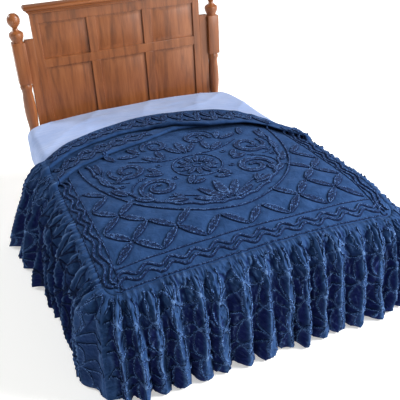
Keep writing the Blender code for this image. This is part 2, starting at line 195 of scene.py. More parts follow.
def pleat_section(x, rows):
    """Path of the cloth from foot to head at each x, as arrays of y and rise."""
    lower, upper, edge = head_end(x)
    ys, zs = [], []

    def add(y, z):
        ys.append(y)
        zs.append(z + 0.0 * y)

    start = SEAM_Y + EDGE_GAP
    lower_back = lower + PLEAT_DEPTH
    upper_back = upper + PLEAT_DEPTH
    for i in range(rows):
        add(start + (lower_back - start) * i / (rows - 1), 0.0)
    for front, back in ((lower, lower_back), (upper, upper_back)):
        base = (lambda y: 0.0 * y) if front is lower else (
            lambda y: lower_layer_z(x, np.maximum(y, lower), lower))
        for angle in np.radians((30, 60, 90, 120, 150)):
            add(back + 0.5 * LAYER_STEP * math.sin(angle),
                base(back) + 0.5 * LAYER_STEP * (1 - math.cos(angle)))
        for q in np.linspace(0.05, 0.92, 9):
            y = back + (front - back) * q
            add(y, base(y) + LAYER_STEP)
        full = 0.5 * pleat_rise(x)
        for angle in np.radians(np.linspace(0, 180, 13)):
            add(front + full * (1 - 1.15 * math.sin(angle)),
                base(front) + LAYER_STEP + full * (1 - math.cos(angle)))
        if front is lower:
            for q in np.linspace(0.04, 1.0, 34):
                y = lower + (upper_back - lower) * q
                add(y, lower_layer_z(x, y, lower))
    for q in np.linspace(0.03, 1.0, 44):
        y = upper + (edge - upper) * q
        # short puckers run back from the front edge
        pucker = 0.0022 * np.exp(-5.0 * q) * np.sin(118.0 * x + 3.0 * np.sin(17.0 * x))
        add(y, upper_layer_z(x, y, lower, upper) + pucker * min(1.0, 8.0 * q))
    return np.array(ys), np.array(zs)


def round_foot_corner(x, y, half_w=SEAM_X - EDGE_GAP, foot_y=SEAM_Y + EDGE_GAP,
                      radius=SEAM_CORNER_R):
    """Pull points of a square corner on to the rounded one."""
    a = (np.abs(x) - (half_w - radius)) / radius
    b = (foot_y + radius - y) / radius
    inside = (a > 0) & (b > 0)
    length = np.where(inside, np.hypot(a, b), 1.0)
    pull = np.where(inside, np.maximum(a, b) / np.maximum(length, 1e-9), 1.0)
    return (np.where(inside, np.sign(x) * (half_w - radius + a * pull * radius), x),
            np.where(inside, foot_y + radius - b * pull * radius, y))


def on_bed(x, y, z):
    """Points of the bed's own axes, as rows of model coordinates."""
    return np.stack([x + BED_X, y + BED_Y, z + 0.0 * x], axis=-1)


def placed(name, data):
    """A new object of the scene, for a mesh, a light or a camera."""
    holder = bpy.data.objects.new(name, data)
    bpy.context.scene.collection.objects.link(holder)
    return holder


def shade_smooth(mesh):
    mesh.polygons.foreach_set("use_smooth", np.ones(len(mesh.polygons), bool))


def sheet_mesh(name, points, cloth_uv, thickness=0.0, joined=None, turned=False,
               shares=None):
    """A grid of quads laid on rows of points; joined says which rows are one strip,
    turned faces the grid the other way, and shares are kept as attributes."""
    rows, across = points.shape[:2]
    bm = bmesh.new()
    bmesh.ops.create_grid(bm, x_segments=across - 1, y_segments=rows - 1, size=0.5)
    bm.verts.ensure_lookup_table()
    flat = np.array([vert.co[:2] for vert in bm.verts])
    i = np.rint((flat[:, 0] + 0.5) * (across - 1)).astype(int)
    k = np.rint((flat[:, 1] + 0.5) * (rows - 1)).astype(int)
    if joined is not None:
        strip = np.asarray(joined)[k]
        loose = [face for face in bm.faces
                 if len({int(strip[vert.index]) for vert in face.verts}) > 1]
        bmesh.ops.delete(bm, geom=loose, context="FACES_ONLY")
        spare = [edge for edge in bm.edges if not edge.link_faces]
        bmesh.ops.delete(bm, geom=spare, context="EDGES")
    if turned:
        bmesh.ops.reverse_faces(bm, faces=bm.faces)
    mesh = bpy.data.meshes.new(name)
    bm.to_mesh(mesh)
    bm.free()
    mesh.vertices.foreach_set("co", points[k, i].astype(np.float32).ravel())
    corners = np.empty(len(mesh.loops), np.int32)
    mesh.loops.foreach_get("vertex_index", corners)
    layer = mesh.uv_layers.new(name="cloth")
    layer.data.foreach_set("uv", cloth_uv[k, i][corners].astype(np.float32).ravel())
    for key, values in (shares or {}).items():
        share = mesh.attributes.new(key, "FLOAT", "POINT")
        share.data.foreach_set("value", values[k, i].astype(np.float32).ravel())
    shade_smooth(mesh)
    mesh.update()
    piece = placed(name, mesh)
    if thickness:
        solidify = piece.modifiers.new("thickness", "SOLIDIFY")
        solidify.thickness = thickness
        solidify.offset = -1.0
    return piece


def linear(code):
    """The linear colour of an sRGB hex code."""
    parts = [int(code[i:i + 2], 16) / 255.0 for i in (1, 3, 5)]
    return tuple(p / 12.92 if p <= 0.04045 else ((p + 0.055) / 1.055) ** 2.4
                 for p in parts) + (1.0,)


def add_node(tree, kind, settings=None, links=None, stops=()):
    """A node with its settings, its sockets linked or set by name or number, and the
    places and colours of its ramp."""
    node = tree.nodes.new(kind)
    for key, value in (settings or {}).items():
        setattr(node, key, value)
    for key, value in (links or {}).items():
        socket = node.inputs[key]
        if isinstance(value, bpy.types.NodeSocket):
            tree.links.new(value, socket)
        else:
            socket.default_value = value
    for _ in stops[2:]:
        node.color_ramp.elements.new(0.5)
    for n, (place, code) in enumerate(stops):
        node.color_ramp.elements[n].position = place
        node.color_ramp.elements[n].color = linear(code)
    return node


def new_material(name, settings):
    """A material of one Principled shader with its constant settings."""
    material = bpy.data.materials.new(name)
    material.use_nodes = True
    shader = material.node_tree.nodes["Principled BSDF"]
    for key, value in settings.items():
        shader.inputs[key].default_value = value
    return material, material.node_tree, shader


# Piece-dyed cotton ground, plain woven with a 1 mm yarn: matt, with a faint rib and
# a slow unevenness of the dye. The rib is drawn at 2.4 mm so that it shows.
# Shade is painted into the colour in the hollows and creases of the folds, and the tufted
# ribs and whatever stands out get a paler painted highlight.
NAVY_LOW = "#1e3961"
NAVY_HIGH = "#294672"
NAVY_SHADE = "#0b1849"
NAVY_HIGHLIGHT = "#6484b3"
NAP_SHEEN = "#b3ceff"
YARN_STEP = 0.0024


def woven_cotton(name, crumple):
    """The ground cloth; crumple is the depth of its creases, more where it is gathered."""
    material, tree, shader = new_material(name, {
        "Roughness": 0.90, "Sheen Weight": 0.05, "Sheen Roughness": 0.4,
        "Sheen Tint": linear(NAP_SHEEN), "Specular IOR Level": 0.10})
    cloth = add_node(tree, "ShaderNodeUVMap", {"uv_map": "cloth"}).outputs["UV"]
    dye = add_node(tree, "ShaderNodeTexNoise", {"noise_dimensions": "2D"},
                   {"Vector": cloth, "Scale": 14.0, "Detail": 4.0})
    dyed = add_node(tree, "ShaderNodeValToRGB", links={"Fac": dye.outputs["Fac"]},
                    stops=((0.32, NAVY_LOW), (0.70, NAVY_HIGH)))
    # painted shade: darker in the hollows and creases of the folds and on the flank turned from
    # the key light
    fold_shade = add_node(tree, "ShaderNodeAttribute", {"attribute_name": "fold_shade"})
    deep = add_node(tree, "ShaderNodeMix", {"data_type": "RGBA"}, {
        0: fold_shade.outputs["Fac"], 6: dyed.outputs["Color"], 7: linear(NAVY_SHADE)})
    # painted highlight: paler on the tufted ribs, knots and crests that stand out of the cloth
    rib = add_node(tree, "ShaderNodeAttribute", {"attribute_name": "rib"})
    painted_highlight = add_node(tree, "ShaderNodeMix", {"data_type": "RGBA"}, {
        0: rib.outputs["Fac"], 6: deep.outputs[2], 7: linear(NAVY_HIGHLIGHT)})
    tree.links.new(painted_highlight.outputs[2], shader.inputs["Base Color"])
    warp = add_node(tree, "ShaderNodeTexWave", {"bands_direction": "X"},
                    {"Vector": cloth, "Scale": 0.314 / YARN_STEP, "Distortion": 0.6})
    weft = add_node(tree, "ShaderNodeTexWave", {"bands_direction": "Y"},
                    {"Vector": cloth, "Scale": 0.314 / YARN_STEP, "Distortion": 0.6})
    weave = add_node(tree, "ShaderNodeMath", {"operation": "MAXIMUM"},
                     {0: warp.outputs["Fac"], 1: weft.outputs["Fac"]})
    slub = add_node(tree, "ShaderNodeTexNoise", {"noise_dimensions": "2D"},
                    {"Vector": cloth, "Scale": 160.0, "Detail": 3.0})
    rough = add_node(tree, "ShaderNodeMath", {"operation": "MULTIPLY_ADD"},
                     {0: slub.outputs["Fac"], 1: 1.4, 2: weave.outputs["Value"]})
    bump = add_node(tree, "ShaderNodeBump", links={
        "Height": rough.outputs["Value"], "Strength": 0.45, "Distance": 0.0006})
    # sharp little facets, about 30 mm across, where gathers draw the cloth in
    pulled = add_node(tree, "ShaderNodeTexNoise", {"noise_dimensions": "2D"},
                      {"Vector": cloth, "Scale": 22.0, "Detail": 2.0})
    moved = add_node(tree, "ShaderNodeMix", {"data_type": "VECTOR"},
                     {0: 0.035, 4: cloth, 5: pulled.outputs["Color"]})
    facets = add_node(tree, "ShaderNodeTexVoronoi", {
        "voronoi_dimensions": "2D", "feature": "F1"}, {
        "Vector": moved.outputs[1], "Scale": 30.0, "Randomness": 1.0})
    fine = add_node(tree, "ShaderNodeTexVoronoi", {
        "voronoi_dimensions": "2D", "feature": "F1"}, {
        "Vector": moved.outputs[1], "Scale": 78.0, "Randomness": 1.0})
    crumpled = add_node(tree, "ShaderNodeMath", {"operation": "MULTIPLY_ADD"},
                        {0: fine.outputs["Distance"], 1: 0.38, 2: facets.outputs["Distance"]})
    creased = add_node(tree, "ShaderNodeBump", links={
        "Height": crumpled.outputs["Value"], "Strength": 1.0, "Distance": crumple,
        "Normal": bump.outputs["Normal"]})
    tree.links.new(creased.outputs["Normal"], shader.inputs["Normal"])
    return material


# Cut cotton loops, 3 mm across, packed in rows: lit tips and shaded gaps are painted
# into the colour, so the pile looks grainy beside the flat ground. They are drawn
# 4.2 mm apart so that they show.
PILE_DARK = "#0d1a38"
PILE_MID = "#213f70"
PILE_LIT_TIP = "#688cc0"
LOOP_STEP = 0.0042


def chenille_pile():
    material, tree, shader = new_material("chenille_pile", {
        "Roughness": 0.95, "Sheen Weight": 0.06, "Sheen Roughness": 0.5,
        "Sheen Tint": linear(NAP_SHEEN), "Specular IOR Level": 0.1})
    place = add_node(tree, "ShaderNodeTexCoord").outputs["Object"]
    loops = add_node(tree, "ShaderNodeTexVoronoi", {"feature": "F1"},
                     {"Vector": place, "Scale": 1.0 / LOOP_STEP, "Randomness": 0.9})
    patchy = add_node(tree, "ShaderNodeTexNoise", links={
        "Vector": place, "Scale": 90.0, "Detail": 3.0})
    grain = add_node(tree, "ShaderNodeMath", {"operation": "MULTIPLY_ADD"},
                     {0: patchy.outputs["Fac"], 1: -0.4, 2: loops.outputs["Distance"]})
    # the attribute is 1 on the rim of the pile and 0 at its foot, where shade is painted in
    height = add_node(tree, "ShaderNodeAttribute", {"attribute_name": "pile"})
    shade = add_node(tree, "ShaderNodeMath", {"operation": "MULTIPLY_ADD"},
                     {0: height.outputs["Fac"], 1: -1.1, 2: 1.28})
    tip = add_node(tree, "ShaderNodeMath", {"operation": "ADD"},
                   {0: grain.outputs["Value"], 1: shade.outputs["Value"]})
    dyed = add_node(tree, "ShaderNodeValToRGB", links={"Fac": tip.outputs["Value"]},
                    stops=((0.30, PILE_LIT_TIP), (0.52, PILE_MID), (0.84, PILE_DARK)))
    tree.links.new(dyed.outputs["Color"], shader.inputs["Base Color"])
    bump = add_node(tree, "ShaderNodeBump", {"invert": True}, {
        "Height": loops.outputs["Distance"], "Strength": 0.9, "Distance": 0.0025})
    tree.links.new(bump.outputs["Normal"], shader.inputs["Normal"])
    return material


cotton_ground = woven_cotton("cotton_ground", 0.0026)
gathered_cotton = woven_cotton("gathered_cotton", 0.0070)
pile_yarn = chenille_pile()

# points across the panel, and rows up to the back of the lower pleat
ACROSS = 171
FLAT_ROWS = 132
panel_x = np.linspace(-(SEAM_X - EDGE_GAP), SEAM_X - EDGE_GAP, ACROSS)
panel_y, panel_rise = pleat_section(panel_x, FLAT_ROWS)
panel_x = np.broadcast_to(panel_x, panel_y.shape)
corner_x, corner_y = round_foot_corner(panel_x, panel_y)
panel_points = on_bed(corner_x, corner_y,
                      crown_z(corner_x, corner_y) + panel_rise
                      + soft_rumple(corner_x, corner_y)
                      + lattice_puff(corner_x, corner_y))
steps = np.hypot(np.diff(panel_y, axis=0), np.diff(panel_rise, axis=0))
panel_run = np.vstack([np.zeros(ACROSS), np.cumsum(steps, axis=0)])
top_cloth = sheet_mesh("top_cloth", panel_points,
                       np.stack([panel_x, panel_run], axis=-1), CLOTH_THICK)
top_cloth.data.materials.append(cotton_ground)


# Tufting on the top panel
# Chenille yarn tufted through the ground and cut: lens-shaped petals in a lattice of
# linked rings, lines and a double wave along the seams, and scrolls in the middle.
PETAL_W = 0.045
PILE_HEIGHT = 0.0078
LINE_W = 0.009
LINE_HEIGHT = 0.0054
# pile lower than this gets painted shade up to its rim
LOW_PILE = 0.0024

# across a tuft: place from edge to edge, and height as a share of the pile's
TUFT_ACROSS = np.array(((-1.0, -0.35), (-0.92, 0.55), (-0.72, 1.0), (-0.35, 0.78),
                        (0.0, 0.72), (0.35, 0.78), (0.72, 1.0), (0.92, 0.55),
                        (1.0, -0.35)))
LINE_ACROSS = np.array(((-1.0, -0.35), (-0.7, 0.65), (0.0, 1.0), (0.7, 0.65),
                        (1.0, -0.35)))


def unit(vectors):
    """Vectors along the last axis, brought to length 1."""
    return vectors / np.maximum(np.linalg.norm(vectors, axis=-1, keepdims=True), 1e-12)


def run_along(path):
    """Length of a path up to each of its points."""
    return np.concatenate([[0.0], np.cumsum(np.linalg.norm(np.diff(path, axis=0), axis=1))])


def round_path(centre, radius, angle, radius_y=None):
    """Points round a centre, on a circle or, with a second radius, on an oval."""
    radius_y = radius if radius_y is None else radius_y
    return np.stack([centre[0] + radius * np.cos(angle),
                     centre[1] + radius_y * np.sin(angle)], axis=1)


def tuft(path, half_width, section=TUFT_ACROSS, height=PILE_HEIGHT):
    """Flat places and heights of one tufted band along a path of (x, y) points."""
    path = np.asarray(path, float)
    along = unit(np.gradient(path, axis=0))
    side = np.stack([-along[:, 1], along[:, 0]], axis=1)
    half = np.broadcast_to(half_width, len(path))
    place = path[:, None] + side[:, None] * (section[:, 0][None] * half[:, None])[..., None]
    thin = np.minimum(1.0, half / (0.35 * max(half.max(), 1e-6)))
    ragged = 1.0 + 0.22 * np.sin(2600.0 * place[..., 0] + 1900.0 * place[..., 1])
    lift = section[:, 1][None] * (height * thin)[:, None] * ragged
    return place, lift


def petal(a, b, width=PETAL_W, inset=0.03, steps=24):
    """A lens-shaped tuft between two points."""
    a, b = np.asarray(a, float), np.asarray(b, float)
    q = np.linspace(inset, 1.0 - inset, steps)
    half = 0.5 * width * np.sin(np.linspace(0.04, 0.96, steps) * math.pi) ** 0.75
    return tuft(a + (b - a) * q[:, None], half)


def line(path, width=LINE_W, step=0.007, height=LINE_HEIGHT, stitch=0.0):
    """A narrow tufted line along a path, knotted once in each stitch."""
    path = np.asarray(path, float)
    run = run_along(path)
    places = np.linspace(0.0, run[-1], max(3, int(run[-1] / step)))
    smooth = np.stack([np.interp(places, run, path[:, c]) for c in (0, 1)], axis=1)
    if stitch:
        height = height * (0.25 + 0.75 * np.abs(np.sin(math.pi * places / stitch)))
    return tuft(smooth, 0.5 * width, LINE_ACROSS, height)


def scroll(centre, outer, inner, turns, begin, hand, width=0.040):
    """A tapering spiral band round a centre."""
    steps = int(44 * turns)
    q = np.linspace(0.0, 1.0, steps)
    angle = begin + hand * 2.0 * math.pi * turns * q
    radius = outer + (inner - outer) * q ** 0.8
    half = 0.5 * width * (0.25 + 0.75 * np.sin(math.pi * (0.08 + 0.84 * q))) * (1.0 - 0.35 * q)
    return tuft(round_path(centre, radius, angle), half)


def top_height(x, y):
    """Height of the visible cloth of the top panel."""
    lower, upper, _ = head_end(x)
    rise = np.where(y > lower, lower_layer_z(x, y, lower), 0.0)
    rise = np.where(y > upper, upper_layer_z(x, y, lower, upper), rise)
    return crown_z(x, y) + rise + soft_rumple(x, y) + lattice_puff(x, y)


def lay_on_top(name, tufts, paleness=1.0):
    """One piece of all the tufts that share a cross-section, laid on the top panel."""
    places = np.concatenate([place for place, _ in tufts])
    lifts = np.concatenate([lift for _, lift in tufts])
    strip = np.concatenate([np.full(len(place), n) for n, (place, _) in enumerate(tufts)])
    x, y = round_foot_corner(places[..., 0], places[..., 1])
    points = on_bed(x, y, top_height(x, y) + lifts)
    # painted shade: the pile is darker towards its foot and where it stays low
    rim = np.maximum(lifts.max(axis=1, keepdims=True), LOW_PILE)
    share = paleness * np.clip(lifts / rim, 0.0, 1.0)
    piece = sheet_mesh(name, points, places, joined=strip, turned=True,
                       shares={"pile": share})
    piece.data.materials.append(pile_yarn)
    return piece


def in_middle(x, y, margin=0.0):
    """Whether a place is inside the oval field in the middle of the panel."""
    return ((x / (MIDDLE_HALF_W + margin)) ** 2
            + ((y - MIDDLE_Y) / (MIDDLE_HALF_L + margin)) ** 2) < 1.0


lattice = []
for i in range(-2, 18):
    for k in range(-14, 14):
        x = -LATTICE_HALF + (i + k) * LATTICE_STEP
        y = LATTICE_FOOT + (i - k) * LATTICE_STEP
        for dy in (1, -1):
            end = (x + LATTICE_STEP, y + dy * LATTICE_STEP)
            mid_x, mid_y = 0.5 * (x + end[0]), 0.5 * (y + end[1])
            hidden = float(head_end(mid_x)[0])
            if (abs(mid_x) < LATTICE_HALF and mid_y > LATTICE_FOOT and mid_y < hidden
                    and not in_middle(mid_x, mid_y, 0.045)):
                lattice.append(petal((x, y), end))
lattice_petals = lay_on_top("lattice_petals", lattice)


def across_head(x_line, from_y, margin):
    """Where a lengthways line has to stop short of the lower pleat."""
    stop = float(head_end(x_line)[0]) - margin
    return [(x_line, from_y), (x_line, stop)]


# the lines at the seams, the middles of the double waves, their lengths and the width
# of their bands, and the width, mesh step and stitch of the straight lines
OUTER_X = 0.739
OUTER_Y = 0.032
SIDE_WAVE_X = 0.7030
FOOT_WAVE_Y = 0.086
WAVE_L = 0.112
SIDE_WAVE_L = 0.150
WAVE_W = 0.019
STRAIGHT_W = 0.010
STRAIGHT_STEP = 0.0045
STITCH = 0.018
borders = [line([(-reach, y), (reach, y)], STRAIGHT_W, STRAIGHT_STEP, height, STITCH)
           for reach, y, height in ((INNER_X, INNER_Y, 0.0045), (0.70, OUTER_Y, 0.0042))]
for side in (-1, 1):
    borders.append(line(across_head(side * INNER_X, OUTER_Y, 0.005), STRAIGHT_W))
    borders.append(line(across_head(side * OUTER_X, 0.10, 0.005), 0.006, height=0.0030))
    reach = float(head_end(side * 0.70)[0]) - 0.01
    y = np.arange(0.050, reach, 0.004)
    wave = 0.0120 * np.sin(2.0 * math.pi * y / SIDE_WAVE_L + 0.5 * np.sin(11.0 * y))
    for shift in (-0.0145, 0.0145):
        borders.append(line(np.stack([side * SIDE_WAVE_X + wave + shift, y], 1), WAVE_W,
                            height=0.0090))
x = np.arange(-0.700, 0.700, 0.004)
wave = 0.015 * np.sin(2.0 * math.pi * x / WAVE_L)
for shift in (-0.0155, 0.0155):
    borders.append(line(np.stack([x, FOOT_WAVE_Y + wave + shift], 1), WAVE_W,
                        height=0.0080))
border_lines = lay_on_top("border_lines", borders, 0.90)


def oval(shrink, steps):
    """The foot half of the oval round the field, drawn in by a margin."""
    angle = np.pi * (1.0 + np.linspace(0.0, 1.0, steps))
    return round_path((0.0, MIDDLE_Y), MIDDLE_HALF_W - shrink, angle,
                      MIDDLE_HALF_L - shrink)


def kept(path, margin=0.01):
    """The part of a path that the lower pleat leaves in view."""
    path = np.asarray(path)
    lower = head_end(path[:, 0])[0]
    return path[path[:, 1] < lower - margin]


# One half of the field of leaf sprays: root of each leaf, its direction in degrees,
# its length and its width
FIELD_LEAVES = (
    (0.000, 0.375, 90, 0.200, 0.056), (0.018, 0.385, 58, 0.170, 0.050),
    (0.030, 0.375, 28, 0.150, 0.044), (0.190, 0.455, 20, 0.120, 0.044),
    (0.205, 0.470, 68, 0.080, 0.036), (0.330, 0.520, 38, 0.120, 0.044),
    (0.350, 0.545, 92, 0.075, 0.034), (0.450, 0.640, 62, 0.120, 0.042),
    (0.120, 0.600, 118, 0.095, 0.040), (0.105, 0.590, 165, 0.080, 0.036),
    (0.205, 0.770, 20, 0.100, 0.042), (0.215, 0.790, 62, 0.095, 0.040),
    (0.500, 0.790, 80, 0.130, 0.042), (0.455, 0.800, 128, 0.085, 0.036),
    (0.150, 0.935, 40, 0.125, 0.046), (0.140, 0.950, 88, 0.120, 0.044),
    (0.510, 0.960, 92, 0.130, 0.042), (0.000, 0.965, 90, 0.160, 0.052),
    (0.022, 0.975, 58, 0.120, 0.042), (0.255, 1.060, 15, 0.120, 0.042),
    (0.240, 1.075, 62, 0.110, 0.040), (0.395, 1.060, 70, 0.110, 0.040),
)
# centre, outer and inner radius, turns, where it begins and its hand
FIELD_SCROLLS = (
    (0.275, 0.640, 0.108, 0.024, 1.45, -0.55, 1),
    (0.365, 0.905, 0.108, 0.024, 1.45, 0.60, -1),
    (0.130, 1.130, 0.085, 0.022, 1.25, -0.40, 1),
)
rosette = np.array((0.0, 0.790))
field = []
for n in range(12):
    angle = 2.0 * math.pi * (n + 0.5) / 12
    direction = np.array((math.cos(angle), math.sin(angle)))
    field.append(petal(rosette + 0.040 * direction, rosette + 0.118 * direction,
                       0.036, 0.0, 12))
for side in (-1, 1):
    for root_x, root_y, degrees, length, width in FIELD_LEAVES:
        if root_x == 0.0 and side < 0:
            continue
        angle = math.radians(degrees)
        root = np.array((side * root_x, root_y))
        tip = root + length * np.array((side * math.cos(angle), math.sin(angle)))
        field.append(petal(root, tip, 1.15 * width, 0.0, 18))
    for cx, cy, outer, inner, turns, begin, hand in FIELD_SCROLLS:
        start = begin if side > 0 else math.pi - begin
        field.append(scroll((side * cx, cy), outer, inner, turns, start, side * hand, 0.050))
field_tufts = lay_on_top("field_tufts", field)

# the oval's ridge with a scalloped band inside it, stems, rings and dots
scallop = oval(0.050, 420)
around = np.linspace(0.0, 2.0 * math.pi * 17, 420)
inward = unit(np.array((0.0, MIDDLE_Y)) - scallop)
scallop = scallop + inward * (0.012 * np.abs(np.sin(0.5 * around)))[:, None]
edges = [line(kept(oval(0.0, 240)), 0.015, height=0.0075),
         line(kept(scallop), 0.026, height=0.0075)]
for side in (-1, 1):
    q = np.linspace(0.0, 1.0, 60)
    for reach_x, begin_y, end_y, bow in ((0.235, 0.365, 0.525, 0.045),
                                         (0.300, 0.930, 1.010, -0.030)):
        edges.append(line(np.stack([side * (0.03 + reach_x * q),
                                    begin_y + (end_y - begin_y) * q ** 1.4
                                    + bow * np.sin(math.pi * q)], 1), 0.012, height=0.006))
    for cx, cy, outer, inner, turns, begin, hand in FIELD_SCROLLS:
        angle = begin + hand * np.linspace(0.0, 0.62 * math.pi, 30)
        outline = round_path((side * cx, cy), side * (outer + 0.032), angle, outer + 0.032)
        if in_middle(*outline.mean(axis=0), -0.09):
            edges.append(line(kept(outline), 0.009))
    for dot_x, dot_y in ((0.085, 0.505), (0.165, 0.700), (0.195, 0.880), (0.445, 0.745),
                         (0.080, 0.650), (0.330, 0.770)):
        angle = np.linspace(0.0, 2.0 * math.pi, 25)
        edges.append(line(round_path((side * dot_x, dot_y), 0.012, angle), 0.010, 0.003))
angle = np.linspace(0.0, 2.0 * math.pi, 90)
for radius in (0.022, 0.138):
    edges.append(line(round_path(rosette, radius, angle), 0.014))
edges = [(place, lift) for place, lift in edges if len(place) > 2]
field_lines = lay_on_top("field_lines", edges, 0.94)

# the lattice goes on over the pleated bands, drawn together to their width
def band_place(x, share, which):
    """A place on a band: 0 is its front edge and 1 its back."""
    lower, upper, edge = head_end(x)
    low, high = (upper, edge) if which == "upper" else (lower, upper)
    return np.array((x, float(low + (high - low) * share)))


BAND_STEP = 0.104
band_tufts = []
for which, begin, finish in (("upper", -0.725, 0.66), ("lower", -0.725, -0.10)):
    for at in np.arange(begin, finish - 0.5 * BAND_STEP, BAND_STEP):
        middle = band_place(at + 0.5 * BAND_STEP, 0.52, which)
        for corner_at in (at, at + BAND_STEP):
            for share in (0.09, 0.93):
                band_tufts.append(petal(middle, band_place(corner_at, share, which),
                                        0.044, 0.05, 18))
band_petals = lay_on_top("band_petals", band_tufts)

top_tufting = [lattice_petals, border_lines, field_tufts, field_lines, band_petals]
for piece in [top_cloth] + top_tufting:
    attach(piece, "root")
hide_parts("top_panel")


# Drops
# Three strips of the same cloth, gathered to the edge of the top panel in small
# puckers that run together into deep folds, and tufted with a lattice of thin rings.
# the shoulder under the seam, how far the cloth stands out below it, and the main folds:
# their depth, how it varies, the steps from which one is wide or parted, and the flare
SHOULDER_OUT = 0.032
SHOULDER_DROP = 0.030
SLOPE_OUT = 0.028
FOLD_DEPTH = 0.056
FOLD_BEAT = 9.0 * math.pi / 13.0
WIDE_STEP = 0.110
PART_STEP = 0.090
FOOT_FLARE = 0.060
FLARE_FROM = 0.280
# relief of the folds: lenses between two creases, pinched ridges and small creases
PUFF_HEIGHT = 0.0125
CREASE_DEPTH = 0.0110
CREASE_W = 0.0060
CREST_LIFT = 0.0088
CREST_W = 0.0064
CRINKLE = 0.0055
# from here along the left seam the close gathers end
SMOOTH_FROM = 0.84
# the lattice of rings: its step, the yarn's width and height, how pale its tips are and
# by how much less in close gathers, and the ribs and knots that it pulls up in the cloth
RING_STEP = 0.176
RING_W = 0.0105
RING_LIFT = 0.0046
RING_PALE = 0.91
RING_PALE_LESS = 0.32
RIB_LIFT = 0.0036
RIB_W = 0.0085
KNOT_LIFT = 0.0048
KNOT_W = 0.0130
# how pale the painted highlight on raised cloth is, on the left and elsewhere
RAISED_HIGHLIGHT_LEFT = 0.62
RAISED_HIGHLIGHT = 0.48
# share of the fall at which a strip's width is measured, and the mesh's step and rows
WIDTH_AT = 0.62
COLUMN_STEP = 0.0052
DROP_ROWS = 82
DROP_L = TOP_Z - SIDE_FALL - HEM_Z
FOOT_RIDGES = (-0.727, -0.668, -0.575, -0.490, -0.370, -0.287, -0.166, -0.051,
               0.056, 0.148, 0.240, 0.335, 0.455, 0.566, 0.660, 0.727)
LEFT_RIDGES = (0.000, 0.105, 0.200, 0.290, 0.380, 0.475, 0.565, 0.660, 0.750,
               0.840, 1.000, 1.095, 1.240, 1.330)
RIGHT_RIDGES = (0.000, 0.105, 0.205, 0.310, 0.415, 0.515, 0.620, 0.730, 0.850,
                0.970, 1.090)
CORNER_S = SEAM_X - SEAM_CORNER_R + 0.25 * math.pi * SEAM_CORNER_R

# name, side, ridges, flare at the head end, lean towards the head, and the small
# gathers: step, depth, the shares of the fall over which they fade, and whether they
# fan out
DROPS = (
    ("foot", 0, FOOT_RIDGES, FOOT_FLARE, 0.0, (0.031, 0.0110, 0.03, 0.37, True)),
    ("left", -1, LEFT_RIDGES, 0.200, 0.160, (0.054, 0.0210, 0.50, 1.00, False)),
    ("right", 1, RIGHT_RIDGES, 0.080, 0.120, (0.031, 0.0090, 0.03, 0.37, True)),
)


def seam_path(s):
    """Points and outward directions of the seam, s metres from the foot centre."""
    straight = SEAM_X - SEAM_CORNER_R
    side, s = np.sign(s), np.abs(s)
    arc = 0.5 * math.pi * SEAM_CORNER_R
    turn = np.clip((s - straight) / SEAM_CORNER_R, 0.0, 0.5 * math.pi)
    out_x, out_y = side * np.sin(turn), -np.cos(turn)
    x = side * np.minimum(s, straight) + SEAM_CORNER_R * out_x
    y = (SEAM_Y + SEAM_CORNER_R + SEAM_CORNER_R * out_y
         + np.maximum(s - straight - arc, 0.0))
    return x, y, out_x, out_y


def seam_height(x, y):
    """Height of the seam, which climbs over the edges of the pleats."""
    lower, upper, _ = head_end(x)
    ramp = 0.030
    rise = lower_layer_z(x, np.maximum(y, lower), lower)
    rise = rise * smoothstep((y - lower + ramp) / ramp)
    full = upper_layer_z(x, np.maximum(y, upper), lower, upper)
    rise = rise + (full - rise) * smoothstep((y - upper + ramp) / ramp)
    return crown_z(x, y) + rise


def fold_counts(side, folds):
    """Phases at which folds begin or end being parted in two, as they are beside a foot
    corner, and the number of folds up to each with the parted ones counted twice."""
    if side:
        return (0.0, 1.0, folds), (0.0, 2.0, folds + 1.0)
    return (0.0, 1.0, folds - 1.0, folds), (0.0, 2.0, folds, folds + 2.0)


def ring_place(count, t):
    """Place in the lattice of rings, whose crossings lie near the ridges of the folds."""
    wander = 0.13 * np.sin(5.5 * t + 2.3 * count) * smoothstep(t / 0.3)
    drift = 0.030 * np.sin(1.7 * count + 0.5) + 0.016 * np.sin(3.9 * count)
    return (count + wander) * RING_STEP, t * DROP_L + drift


def from_ring_place(width, depth):
    """The count of folds and share of the fall at a place in the lattice of rings."""
    count = width / RING_STEP
    t = depth / DROP_L
    for _ in range(8):
        there_w, there_d = ring_place(count, t)
        count = count + (width - there_w) / RING_STEP
        t = t + (depth - there_d) / DROP_L
    return count, t


def ring_distance(width, depth):
    """Distance to the nearest ring line, and to the nearest crossing."""
    radius = RING_STEP / math.sqrt(2.0)
    best = np.full(np.broadcast(width, depth).shape, 1.0)
    for dx in (-0.5, 0.5, 1.5):
        for dy in (-1, 0, 1):
            cx = (np.floor(width / RING_STEP) + dx) * RING_STEP
            cy = (np.floor(depth / RING_STEP + 0.5) + dy) * RING_STEP
            best = np.minimum(best, np.abs(np.hypot(width - cx, depth - cy) - radius))
    knot_x = width - np.floor(width / RING_STEP + 0.5) * RING_STEP
    knot_y = depth - (np.floor(depth / RING_STEP) + 0.5) * RING_STEP
    return best, np.hypot(knot_x, knot_y)


def fold_place(side, phase, t, folds):
    """Count of the folds at a place, and whether its fold is parted in two there. The
    ridges wander a little, and those beside a foot corner fan out, so that folds part."""
    ends = smoothstep(np.minimum(phase, folds - phase) / 0.35)
    bent = phase + 0.055 * t * ends * np.sin(2.4 * phase + 4.5 * t)
    parts = np.where((phase if side else np.minimum(phase, folds - phase)) < 1.0, 2.0, 1.0)
    return bent, parts


def close_gathers(side, s):
    """Where the left drop is drawn in closely, from 0 to 1: its rings sink in there."""
    if side >= 0:
        return 0.0 * s
    return smoothstep((s - 0.10) / 0.08) * (1.0 - smoothstep((s - SMOOTH_FROM) / 0.10))


